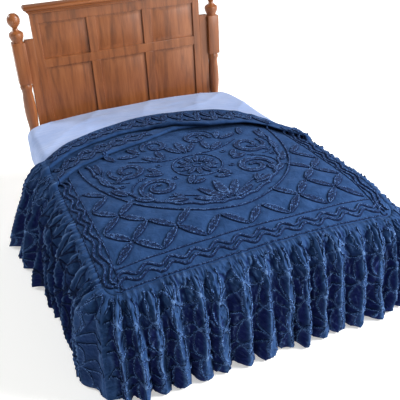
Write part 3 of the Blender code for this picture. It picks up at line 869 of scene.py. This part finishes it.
def crinkle(width, depth):
    """Small slanting creases of cloth that the tufting draws in, from 0 to 2."""
    along = width / 0.058 + 0.30 * np.sin(depth / 0.033) + 0.45 * np.sin(width / 0.12)
    down = depth / 0.082 + 0.35 * np.sin(width / 0.043) + 0.30 * np.sin(depth / 0.09)
    return ((1.0 - np.abs(np.sin(math.pi * (along + down)))) ** 3
            + (1.0 - np.abs(np.sin(math.pi * (along - down)))) ** 3)


def drop_surface(side, ridges, flare, lean, small, s, t):
    """Points of one drop, s along its seam and t from seam to hem."""
    ridges = np.array(ridges)
    folds = len(ridges) - 1
    k = np.clip(np.searchsorted(ridges, s, side="right") - 1, 0, folds - 1)
    step = ridges[k + 1] - ridges[k]
    phase = k + (s - ridges[k]) / step
    length = ridges[-1] if side else 1.0
    grown = smoothstep((s / length - FLARE_FROM) / (1.0 - FLARE_FROM)) if side else 0.0 * s
    flare_here = FOOT_FLARE + (flare - FOOT_FLARE) * grown
    lean_here = side * lean * smoothstep(1.6 * s / length - 0.6)
    x, y, out_x, out_y = seam_path(side * (CORNER_S + s) if side else s)
    top = seam_height(x, y)
    fall = t * (top - HEM_Z)
    bend = np.maximum(0.0, 1.0 - fall / SHOULDER_DROP)
    # gathered cloth stands out below the seam before it hangs
    slope = SLOPE_OUT * (smoothstep(t / 0.20) - smoothstep((t - 0.35) / 0.65))
    if side > 0:
        slope = slope * (1.0 - smoothstep(s / 0.20))
    shoulder = SHOULDER_OUT * np.sqrt(1.0 - bend * bend) + slope
    # at the sides the folds start lower down, away from the foot
    start_t = 0.05 + (0.12 * smoothstep(s / 0.20) if side > 0 else 0.0)
    # small folds die out at the strip's ends, where it meets the next strip
    ends = smoothstep(np.minimum(s - ridges[0], ridges[-1] - s) / 0.018)
    bent, parts = fold_place(side, phase, t, folds)
    valley = np.abs(np.sin(math.pi * bent * parts)) ** (
        1.2 + 0.9 * smoothstep((t - 0.72) / 0.28))
    deep = smoothstep((step - WIDE_STEP) / 0.05)
    crest = np.floor(bent * parts + 0.5) / parts
    number = np.mod(crest, folds)
    depth = FOLD_DEPTH * (1.0 + 0.22 * np.sin(FOLD_BEAT * number)) * (
        np.where(parts > 1.0, 0.82, 1.0))
    ridge = depth * smoothstep(0.26 + 0.74 * t) * np.minimum(1.0, t / start_t) * (1.0 - valley)
    spread = flare_here * t * (1.0 - 0.45 * deep * valley)
    # each ridge starts as a puffed lens between two creases that leave the seam at one
    # point, stand apart and run together again lower down
    reach = step / parts
    reach = reach + np.where(parts > 1.0, PART_STEP - reach, 0.0) * np.minimum(1.0, 2.0 * t)
    from_crest = (bent - crest) * parts * reach
    uneven = np.sin(2.3 * number + 0.7 + 0.9 * np.sign(from_crest))
    fork = 0.42 * reach * smoothstep(t / 0.10) * (
        1.0 - smoothstep((t - 0.10) / (0.27 + 0.08 * uneven)))
    lens = smoothstep((fork - np.abs(from_crest)) / 0.008 + 0.5) * (
        1.0 - smoothstep((t - 0.22) / 0.16)) * smoothstep(0.6 * t / start_t)
    crease = np.exp(-((np.abs(from_crest) - fork) / CREASE_W) ** 2) * (
        1.0 - smoothstep((t - 0.30) / 0.14))
    # each ridge is pinched to a line, knobbly where the tufting crosses it
    knobs = 1.0 + 0.35 * np.sin(210.0 * t * DROP_L + 3.0 * number)
    pinched = CREST_LIFT * knobs * np.exp(-(from_crest / CREST_W) ** 2) * (
        1.0 - 0.8 * smoothstep((t - 0.82) / 0.18)) * smoothstep(t / start_t)
    # the gathers of the seam fade into the folds
    run = np.where(np.abs(out_y) > np.abs(out_x), x, y)
    calm = smoothstep((s - SMOOTH_FROM) / 0.10) if side < 0 else 0.0
    small_step, small_depth, fade_from, fade_to, fans_out = small
    pucker = small_depth * (1.0 - 0.8 * calm) * (
        1.0 - smoothstep((t - fade_from) / (fade_to - fade_from)))
    if fans_out:
        # they spread from the top of each ridge, and the cloth between is smooth
        run = run + (bent - crest) * step * (1.0 / (0.55 + 3.0 * t) - 1.0)
        pucker = pucker * (1.0 - smoothstep((np.abs(bent - crest) * parts - 0.34) / 0.14))
    pucker = pucker * gathers(run, small_step)
    # folds within folds lower down, a slow billow and small slanting creases
    within = 0.0060 * smoothstep((t - 0.10) / 0.3) * (1.0 + np.sin(
        4.0 * math.pi * bent + 1.9 * np.sin(1.7 * phase + 5.0 * t)))
    billow = 0.0060 * (1.0 + np.sin(7.0 * t + 2.9 * phase)) * smoothstep(t / 0.25)
    count = np.interp(phase, *fold_counts(side, folds))
    drawn = CRINKLE * crinkle(count * RING_STEP, t * DROP_L) * smoothstep(t / 0.06)
    drawn = drawn * (0.20 if side < 0 else 1.0)
    relief = ((pucker + within + billow + drawn - CREASE_DEPTH * crease) * ends
              + PUFF_HEIGHT * lens + pinched)
    relief = np.maximum(relief, 0.0) * np.minimum(1.0, 50.0 * t)
    out = shoulder + spread + ridge + relief * np.sqrt(1.0 - bend * bend)
    sway = 0.012 * t * np.sin(2.0 * math.pi * phase) + lean_here * t * t
    # the seam has the height of the top panel's edge
    edge = (soft_rumple(x, y) + lattice_puff(x, y)) * (1.0 - smoothstep(t / 0.12))
    return on_bed(x + out_x * out - out_y * sway, y + out_y * out + out_x * sway,
                  top - fall + edge + relief * bend)


def cloth_width(surface, start, end, steps=2400):
    """Places along the seam, and the width of flat cloth up to each."""
    s = np.linspace(start, end, steps)
    middle = surface(s, np.full(steps, WIDTH_AT))
    return s, run_along(middle)


def surface_normals(points):
    """The way that each point of a grid faces."""
    return unit(np.cross(np.gradient(points, axis=0), np.gradient(points, axis=1)))


def stands_out(points, outward, rows, columns):
    """How far each point of a grid stands out from the cloth around it, in metres."""
    soft = points
    for axis, reach in ((0, rows), (1, columns)):
        margin = [(reach, reach) if way == axis else (0, 0) for way in range(3)]
        padded = np.pad(soft, margin, mode="edge")
        places = range(points.shape[axis])
        soft = sum(np.take(padded, np.array(places) + step, axis)
                   for step in range(2 * reach + 1)) / (2 * reach + 1)
    return np.sum((points - soft) * outward, axis=-1)


for name, side, ridges, flare, lean, small in DROPS:
    def surface(s, t):
        return drop_surface(side, ridges, flare, lean, small, s, t)

    hand = -1.0 if side < 0 else 1.0
    start, end = ridges[0], ridges[-1]
    s_table, width_table = cloth_width(surface, start, end)
    full_width = width_table[-1]
    columns = int(full_width / COLUMN_STEP)
    width = np.linspace(0.0, full_width, columns)
    t = np.concatenate([np.linspace(0.0, 0.12, 13), np.linspace(0.13, 1.0, DROP_ROWS - 13)])
    s_grid, t_grid = np.meshgrid(np.interp(width, width_table, s_table), t)
    w_grid = np.broadcast_to(width, s_grid.shape)
    d_grid = t_grid * DROP_L
    points = surface(s_grid, t_grid)
    outward = hand * surface_normals(points)
    # each ring line stands up as a rib, with a knot at each crossing
    phase = np.interp(s_grid, ridges, np.arange(len(ridges)))
    parted_at, counts = fold_counts(side, len(ridges) - 1)
    to_line, to_knot = ring_distance(*ring_place(np.interp(phase, parted_at, counts), t_grid))
    inside = (smoothstep(t_grid / 0.05) * smoothstep((1.0 - t_grid) / 0.02)
              * smoothstep(np.minimum(s_grid - start, end - s_grid) / 0.014))
    inside = inside * (1.0 - 0.7 * close_gathers(side, s_grid))
    rib = np.exp(-(to_line / RIB_W) ** 2) * inside
    knot = np.exp(-(to_knot / KNOT_W) ** 2) * inside
    # painted shade in each fold's hollow and on its flank turned from the key light; whatever
    # stands out of the cloth gets a painted highlight, and creases get painted shade
    bent, parts = fold_place(side, phase, t_grid, len(ridges) - 1)
    flank = np.mod(bent * parts, 1.0)
    fold_shade = (smoothstep((flank - 0.22) / 0.26) * smoothstep((1.0 - flank) / 0.10)
              * smoothstep((t_grid - 0.08) / 0.24))
    if side < 0:
        # round the corner the cloth faces the light again, so less shade is painted there
        fold_shade = fold_shade * (0.40 + 0.60 * smoothstep((s_grid - 0.06) / 0.12))
    points = points + outward * (RIB_LIFT * rib + KNOT_LIFT * knot)[..., None]
    out_by = stands_out(points, outward, 1, 3)
    painted_highlight = smoothstep((out_by - 0.0010) / 0.0060)
    creased = smoothstep((-out_by - 0.0002) / 0.0036)
    cloth = sheet_mesh(name + "_drop_cloth", points, np.stack([w_grid, d_grid], axis=-1),
                       CLOTH_THICK, turned=side >= 0,
                       shares={"fold_shade": np.clip(np.maximum(fold_shade, 0.85 * creased), 0.0, 1.0),
                               "rib": np.clip(0.12 * rib + 0.10 * knot
                                              + (RAISED_HIGHLIGHT if side >= 0 else RAISED_HIGHLIGHT_LEFT) * painted_highlight,
                                              0.0, 1.0)})
    cloth.data.materials.append(gathered_cotton)

    # ring lines, one circle after another between the ridges
    radius = RING_STEP / math.sqrt(2.0)
    strips, lifts, marks, mark = [], [], [], 0
    for n in range(int(counts[-1])):
        for cy in np.arange(-1.0, 6.0) * RING_STEP:
            angle = np.linspace(0.0, 2.0 * math.pi, 97)
            ring = round_path(((n + 0.5) * RING_STEP, cy), radius, angle)
            ring_count, ring_t = from_ring_place(ring[:, 0], ring[:, 1])
            inside = ((ring_count > 0.08) & (ring_count < counts[-1] - 0.08)
                      & (ring_t > 0.012) & (ring_t < 0.975))
            runs = np.split(np.arange(len(ring)), np.where(np.diff(inside.astype(int)))[0] + 1)
            for run in runs:
                if inside[run[0]] and len(run) > 2:
                    place, lift = tuft(ring[run], 0.5 * RING_W, LINE_ACROSS, RING_LIFT)
                    strips.append(place)
                    lifts.append(lift)
                    marks.append(np.full(len(run), mark))
                    mark += 1
    strips, lifts, marks = map(np.concatenate, (strips, lifts, marks))
    ring_count, ring_t = from_ring_place(strips[..., 0], strips[..., 1])
    ring_s = np.interp(np.interp(ring_count, counts, parted_at), np.arange(len(ridges)), ridges)
    ring_t = np.clip(ring_t, 0.0, 1.0)
    nudge = 0.0008
    here = surface(ring_s, ring_t)
    along = surface(ring_s + nudge, ring_t) - surface(ring_s - nudge, ring_t)
    down = surface(ring_s, ring_t + nudge) - surface(ring_s, ring_t - nudge)
    normal = unit(np.cross(down, along))
    sunk = close_gathers(side, ring_s)
    raised = lifts * (1.0 - 0.5 * sunk) + RIB_LIFT * (1.0 - 0.7 * sunk)
    # painted shade on the ring yarn, darker towards its edges; it is also less pale where it
    # sinks into close gathers
    rings = sheet_mesh(name + "_drop_rings", here + hand * normal * raised[..., None],
                       strips, joined=marks, turned=side < 0,
                       shares={"pile": (RING_PALE - RING_PALE_LESS * sunk)
                               * np.clip(0.6 + lifts / RING_LIFT, 0.0, 1.0)})
    rings.data.materials.append(pile_yarn)

    for piece in (cloth, rings):
        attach(piece, "root")
    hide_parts(name + "_drop")


# Mattress
# A sprung mattress in a fitted cotton sheet: crowned, with rounded edges and corners.
# The sheet shows between the bedspread and the headboard, in a few soft creases.
MATTRESS_HALF_W = 0.762
MATTRESS_L = 2.032
MATTRESS_BOTTOM = 0.3305
MATTRESS_EDGE_R = 0.050
MATTRESS_CORNER_R = 0.090
OVER_MATTRESS = 0.005
# Percale sheeting: smooth and nearly matt, with a faint unevenness of the dye and soft
# drawn creases that catch the light.
SHEET_LOW = "#8fa4d0"
SHEET_HIGH = "#9fb2da"


def cotton_sheeting():
    material, tree, shader = new_material("cotton_sheeting", {
        "Roughness": 0.85, "Sheen Weight": 0.15, "Specular IOR Level": 0.25})
    place = add_node(tree, "ShaderNodeTexCoord").outputs["Object"]
    soft = add_node(tree, "ShaderNodeTexNoise", links={
        "Vector": place, "Scale": 6.0, "Detail": 3.0})
    dyed = add_node(tree, "ShaderNodeValToRGB", links={"Fac": soft.outputs["Fac"]},
                    stops=((0.3, SHEET_LOW), (0.7, SHEET_HIGH)))
    tree.links.new(dyed.outputs["Color"], shader.inputs["Base Color"])
    drawn = add_node(tree, "ShaderNodeMapping", links={
        "Vector": place, "Rotation": (0.0, 0.0, 0.35), "Scale": (2.2, 9.0, 4.0)})
    creases = add_node(tree, "ShaderNodeTexNoise", links={
        "Vector": drawn.outputs["Vector"], "Scale": 1.6, "Detail": 4.0,
        "Distortion": 0.8})
    bump = add_node(tree, "ShaderNodeBump", links={
        "Height": creases.outputs["Fac"], "Strength": 0.6, "Distance": 0.020})
    tree.links.new(bump.outputs["Normal"], shader.inputs["Normal"])
    return material


def mattress_top(x, y):
    """Top of the mattress, rounded towards its edges and corners."""
    in_x = MATTRESS_HALF_W - np.abs(x)
    in_y = np.minimum(y, MATTRESS_L - y)
    corner = MATTRESS_CORNER_R - np.hypot(MATTRESS_CORNER_R - in_x, MATTRESS_CORNER_R - in_y)
    inside = np.where((in_x < MATTRESS_CORNER_R) & (in_y < MATTRESS_CORNER_R), corner,
                      np.minimum(in_x, in_y))
    edge = np.clip(1.0 - inside / MATTRESS_EDGE_R, 0.0, 1.0)
    rounding = MATTRESS_EDGE_R * (1.0 - np.sqrt(1.0 - edge ** 2))
    head_fall = 0.030 * np.maximum(0.0, 1.0 - (MATTRESS_L - y) / 0.30) ** 2
    # low creases in the sheet, where it is pulled over the mattress
    crease = (0.0050 * (1.0 - np.abs(np.sin(8.0 * x + 3.0 * y + 1.6 * np.sin(5.0 * y)))) ** 3
              + 0.0050 * (1.0 - np.abs(np.sin(9.0 * y - 4.0 * x + 2.0 * np.sin(4.0 * x)))) ** 3)
    shown = smoothstep((y - head_end(x)[2] - 0.01) / 0.10)
    return (crown_z(x, np.maximum(y, SEAM_Y)) - OVER_MATTRESS - rounding - head_fall
            + crease * shown)


def in_order(bm):
    """Corners and faces sorted by their places, so that each run gives the same mesh."""
    for items, place in ((bm.verts, lambda vert: vert.co),
                         (bm.faces, lambda face: face.calc_center_median())):
        items.index_update()
        spots = np.round([tuple(place(item)) for item in items], 6)
        rank = np.empty(len(spots), int)
        rank[np.lexsort(spots.T)] = np.arange(len(spots))
        items.sort(key=lambda item: int(rank[item.index]))
        items.index_update()


# the mesh's lines crowd towards the edges, where the mattress is rounded
MATTRESS_STEPS = 130
spread = np.sin(0.5 * math.pi * np.linspace(-1.0, 1.0, MATTRESS_STEPS + 1))
mx, my = np.meshgrid(MATTRESS_HALF_W * spread, 0.5 * MATTRESS_L * (1.0 + spread))
mx, my = round_foot_corner(mx, my, MATTRESS_HALF_W, 0.0, MATTRESS_CORNER_R)
mx, mirrored = round_foot_corner(mx, MATTRESS_L - my, MATTRESS_HALF_W, 0.0,
                                 MATTRESS_CORNER_R)
my = MATTRESS_L - mirrored
fitted = sheet_mesh("fitted_mattress", on_bed(mx, my, mattress_top(mx, my)),
                    np.stack([mx, my], axis=-1))
bm = bmesh.new()
bm.from_mesh(fitted.data)
rim = [edge for edge in bm.edges if edge.is_boundary]
for level in (0.50, 0.46, 0.42, 0.38, MATTRESS_BOTTOM):
    grown = bmesh.ops.extrude_edge_only(bm, edges=rim)
    rim = [item for item in grown["geom"] if isinstance(item, bmesh.types.BMEdge)]
    for item in grown["geom"]:
        if isinstance(item, bmesh.types.BMVert):
            item.co.z = min(item.co.z, level)
bmesh.ops.contextual_create(bm, geom=rim)
bmesh.ops.recalc_face_normals(bm, faces=bm.faces)
in_order(bm)
bm.to_mesh(fitted.data)
bm.free()
shade_smooth(fitted.data)
fitted.data.materials.append(cotton_sheeting())
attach(fitted, "root")
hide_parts("mattress")


# Bed frame
# A plain panelled bed of warm brown wood: turned posts with square blocks, a headboard
# of stiles, rails and raised panels under a moulded crown, and two side rails.
POST_X = 0.690
POST_Y = 2.100
BOARD_THICK = 0.030
# Stained hardwood under a satin varnish: long grain in three browns, fine pores that
# break up the gloss, and a soft coat over both.
WOOD_DARK = "#663716"
WOOD_MID = "#864b22"
WOOD_LIGHT = "#985a2f"


def stained_wood(name, stretch):
    """Satin stained wood; stretch is small along the grain and large across it."""
    material, tree, shader = new_material(name, {
        "Specular IOR Level": 0.45, "Coat Weight": 0.25, "Coat Roughness": 0.3})
    place = add_node(tree, "ShaderNodeTexCoord").outputs["Object"]
    grain_place = add_node(tree, "ShaderNodeMapping", links={
        "Vector": place, "Scale": stretch})
    flow = add_node(tree, "ShaderNodeTexNoise", links={
        "Vector": grain_place.outputs["Vector"], "Scale": 1.6, "Detail": 5.0,
        "Distortion": 0.7})
    pores = add_node(tree, "ShaderNodeTexNoise", links={
        "Vector": grain_place.outputs["Vector"], "Scale": 11.0, "Detail": 4.0})
    both = add_node(tree, "ShaderNodeMath", {"operation": "MULTIPLY_ADD"},
                    {0: pores.outputs["Fac"], 1: 0.35, 2: flow.outputs["Fac"]})
    stained = add_node(tree, "ShaderNodeValToRGB", links={"Fac": both.outputs["Value"]},
                       stops=((0.45, WOOD_DARK), (0.66, WOOD_MID), (0.88, WOOD_LIGHT)))
    tree.links.new(stained.outputs["Color"], shader.inputs["Base Color"])
    polish = add_node(tree, "ShaderNodeMapRange", links={
        "Value": pores.outputs["Fac"], "To Min": 0.30, "To Max": 0.52})
    tree.links.new(polish.outputs["Result"], shader.inputs["Roughness"])
    bump = add_node(tree, "ShaderNodeBump", links={
        "Height": pores.outputs["Fac"], "Strength": 0.25, "Distance": 0.0008})
    tree.links.new(bump.outputs["Normal"], shader.inputs["Normal"])
    return material


upright_wood = stained_wood("wood_grain_upright", (14.0, 14.0, 1.3))
level_wood = stained_wood("wood_grain_level", (1.3, 14.0, 14.0))


def board(bm, low, high, bevel):
    """A bevelled board between two corners."""
    made = bmesh.ops.create_cube(bm, size=1.0)
    size = [b - a for a, b in zip(low, high)]
    middle = [0.5 * (a + b) for a, b in zip(low, high)]
    bmesh.ops.scale(bm, vec=size, verts=made["verts"])
    bmesh.ops.translate(bm, vec=middle, verts=made["verts"])
    edges = list(dict.fromkeys(edge for vert in made["verts"] for edge in vert.link_edges))
    bmesh.ops.bevel(bm, geom=edges, offset=bevel, segments=2, profile=0.5,
                    affect="EDGES", material=-1)


def shown_piece(name, bm, material, node, smooth_angle=0.6):
    """An object from bm, shifted on to the model, that replaces a node of the frame."""
    bmesh.ops.translate(bm, vec=(BED_X, BED_Y, 0.0), verts=bm.verts)
    bmesh.ops.recalc_face_normals(bm, faces=bm.faces)
    in_order(bm)
    mesh = bpy.data.meshes.new(name)
    bm.to_mesh(mesh)
    bm.free()
    shade_smooth(mesh)
    mesh.set_sharp_from_angle(angle=smooth_angle)
    piece = placed(name, mesh)
    mesh.materials.append(material)
    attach(piece, "root")
    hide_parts(node)


# height and radius of the turning; the square blocks are put over it
POST_TURNING = (
    (0.000, 0.000), (0.000, 0.026), (0.030, 0.030), (0.060, 0.034), (0.090, 0.038),
    (0.105, 0.036), (0.420, 0.036), (0.430, 0.040), (0.440, 0.035), (0.450, 0.037),
    (0.462, 0.040), (0.474, 0.037), (0.490, 0.031), (0.540, 0.036), (0.600, 0.041),
    (0.660, 0.040), (0.710, 0.037), (0.760, 0.033), (0.775, 0.036), (0.790, 0.041),
    (0.803, 0.038), (0.815, 0.034), (1.090, 0.034), (1.100, 0.034), (1.112, 0.040),
    (1.126, 0.045), (1.140, 0.047), (1.152, 0.044), (1.160, 0.033), (1.168, 0.021),
    (1.180, 0.016), (1.188, 0.019), (1.196, 0.027), (1.206, 0.035), (1.219, 0.040),
    (1.232, 0.042), (1.245, 0.040), (1.257, 0.035), (1.267, 0.027), (1.274, 0.017),
    (1.277, 0.000),
)
for node, x in (("left_post", -POST_X), ("right_post", POST_X)):
    bm = bmesh.new()
    profile = [bm.verts.new((x + radius, POST_Y, z)) for z, radius in POST_TURNING]
    line_edges = [bm.edges.new(pair) for pair in zip(profile, profile[1:])]
    bmesh.ops.spin(bm, geom=profile + line_edges, cent=(x, POST_Y, 0.0),
                   axis=(0, 0, 1), angle=2.0 * math.pi, steps=40, use_merge=True)
    bmesh.ops.remove_doubles(bm, verts=bm.verts, dist=0.00005)
    for low_z, high_z, half in ((0.105, 0.420, 0.045), (0.815, 1.090, 0.041)):
        board(bm, (x - half, POST_Y - half, low_z), (x + half, POST_Y + half, high_z),
              0.004)
    shown_piece(node.replace("post", "turned_post"), bm, upright_wood, node)

# the headboard: stiles and rails around six raised panels
inner_x = POST_X - 0.0413
front_y, back_y = POST_Y - 0.5 * BOARD_THICK, POST_Y + 0.5 * BOARD_THICK
bm = bmesh.new()
for side in (-1, 1):
    for near_x, far_x, low_z, high_z in ((0.590, inner_x, 0.440, 1.100),
                                         (0.540, 0.590, 0.440, 1.255),
                                         (0.165, 0.225, 0.520, 0.900),
                                         (0.165, 0.225, 0.960, 1.195)):
        low_x, high_x = sorted((side * near_x, side * far_x))
        board(bm, (low_x, front_y, low_z), (high_x, back_y, high_z), 0.0015)
for low_z, high_z in ((0.440, 0.520), (0.900, 0.960), (1.195, 1.255)):
    board(bm, (-0.540, front_y, low_z), (0.540, back_y, high_z), 0.0015)
for low_z, high_z in ((0.520, 0.900), (0.960, 1.195)):
    for low_x, high_x in ((-0.540, -0.225), (-0.165, 0.165), (0.225, 0.540)):
        made = bmesh.ops.create_cube(bm, size=1.0)
        bmesh.ops.scale(bm, vec=(high_x - low_x, 0.012, high_z - low_z),
                        verts=made["verts"])
        bmesh.ops.translate(bm, vec=(0.5 * (low_x + high_x), front_y + 0.018,
                                     0.5 * (low_z + high_z)), verts=made["verts"])
        bm.normal_update()
        faces = dict.fromkeys(face for vert in made["verts"] for face in vert.link_faces)
        panel = [face for face in faces if face.normal.y < -0.9]
        bmesh.ops.inset_region(bm, faces=panel, thickness=0.007, depth=0.0,
                               use_even_offset=True)
        bmesh.ops.inset_region(bm, faces=panel, thickness=0.024, depth=0.007,
                               use_even_offset=True)
shown_piece("headboard_joinery", bm, upright_wood, "headboard", 0.35)

# the crown: four mouldings, one over the other
bm = bmesh.new()
for low_z, high_z, out, bevel in ((1.2555, 1.268, 0.006, 0.003), (1.268, 1.284, 0.018, 0.008),
                                  (1.284, 1.305, 0.033, 0.006), (1.305, 1.311, 0.028, 0.002)):
    board(bm, (-0.590 - out, front_y - out, low_z), (0.590 + out, back_y + out, high_z),
          bevel)
shown_piece("crown_moulding", bm, level_wood, "headboard_crown")

# rails, foot legs and the sprung base keep their own form
for name in ("left_rail", "right_rail", "foot_rail", "left_foot_leg", "right_foot_leg"):
    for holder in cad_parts[name].material_slots:
        holder.material = upright_wood if "leg" in name else level_wood


# Cotton ticking: a close matt twill, off-white with thin grey stripes 24 mm apart.
TICKING_GROUND = "#d9d4c8"
TICKING_STRIPE = "#a9a9a4"
TICKING_STEP = 0.024


def striped_ticking():
    material, tree, shader = new_material("base_ticking", {"Roughness": 0.9})
    place = add_node(tree, "ShaderNodeTexCoord").outputs["Object"]
    stripes = add_node(tree, "ShaderNodeTexWave", {"bands_direction": "X"},
                       {"Vector": place, "Scale": 0.314 / TICKING_STEP})
    striped = add_node(tree, "ShaderNodeValToRGB", links={"Fac": stripes.outputs["Fac"]},
                       stops=((0.82, TICKING_GROUND), (0.95, TICKING_STRIPE)))
    tree.links.new(striped.outputs["Color"], shader.inputs["Base Color"])
    return material


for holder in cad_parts["foundation"].material_slots:
    holder.material = striped_ticking()


# Floor, light and camera
# A plain pale studio: a soft key from the right, a softbox nearer the foot, a weak fill
# from the left, and a white sweep with a glow of its own, so that shadows stay pale.
FLOOR_COLOUR = "#f2f2f0"
SWEEP_GLOW = 0.50
floor_mesh = bpy.data.meshes.new("studio_floor")
bm = bmesh.new()
bmesh.ops.create_grid(bm, x_segments=1, y_segments=1, size=30.0)
bm.to_mesh(floor_mesh)
bm.free()
floor = placed("studio_floor", floor_mesh)
paper, _, _ = new_material("studio_paper", {
    "Base Color": linear(FLOOR_COLOUR), "Roughness": 0.95,
    "Emission Color": linear(FLOOR_COLOUR), "Emission Strength": SWEEP_GLOW})
floor.data.materials.append(paper)

world = bpy.data.worlds.new("studio")
world.use_nodes = True
world.node_tree.nodes["Background"].inputs["Color"].default_value = (1.0, 1.0, 1.0, 1.0)
world.node_tree.nodes["Background"].inputs["Strength"].default_value = 0.25
bpy.context.scene.world = world
bpy.context.scene.view_settings.view_transform = "Standard"

# name, kind, strength, angle of a sun in degrees or size of a softbox in metres, and
# where it shines from, towards the middle of the floor
LIGHTS = (
    ("key", "SUN", 3.5, 22.0, (1.0, -0.40, 0.66)),
    ("softbox", "AREA", 96.0, 1.4, (2.5, -2.2, 1.9)),
    ("side_fill", "SUN", 2.0, 15.0, (-1.0, 0.90, 0.80)),
)
for name, kind, strength, softness, shines_from in LIGHTS:
    light = bpy.data.lights.new(name, kind)
    light.energy = strength
    holder = placed(name, light)
    if kind == "SUN":
        light.angle = math.radians(softness)
    else:
        light.size = softness
        holder.location = shines_from
    holder.rotation_euler = (-Vector(shines_from)).to_track_quat("-Z", "Y").to_euler()

# The camera stands off the left foot corner and looks down along the bed.
CAMERA_PLACE = (-1.09811, -1.97449, 2.04787)
HEADING, PITCH, ROLL = 21.717, 29.246, 3.132
LENS = 54.0
heading, pitch, roll = (math.radians(value) for value in (HEADING, PITCH, ROLL))
forward = Vector((math.sin(heading) * math.cos(pitch), math.cos(heading) * math.cos(pitch),
                  -math.sin(pitch)))
level_right = Vector((math.cos(heading), -math.sin(heading), 0.0))
level_down = forward.cross(level_right)
right = level_right * math.cos(roll) + level_down * math.sin(roll)
up = -(level_down * math.cos(roll) - level_right * math.sin(roll))
camera_data = bpy.data.cameras.new("camera")
camera_data.lens = LENS
camera_data.sensor_width = 36.0
camera = placed("camera", camera_data)
camera.location = (CAMERA_PLACE[0] + BED_X, CAMERA_PLACE[1] + BED_Y, CAMERA_PLACE[2])
camera.rotation_euler = Matrix((right, up, -forward)).transposed().to_euler()
bpy.context.scene.camera = camera
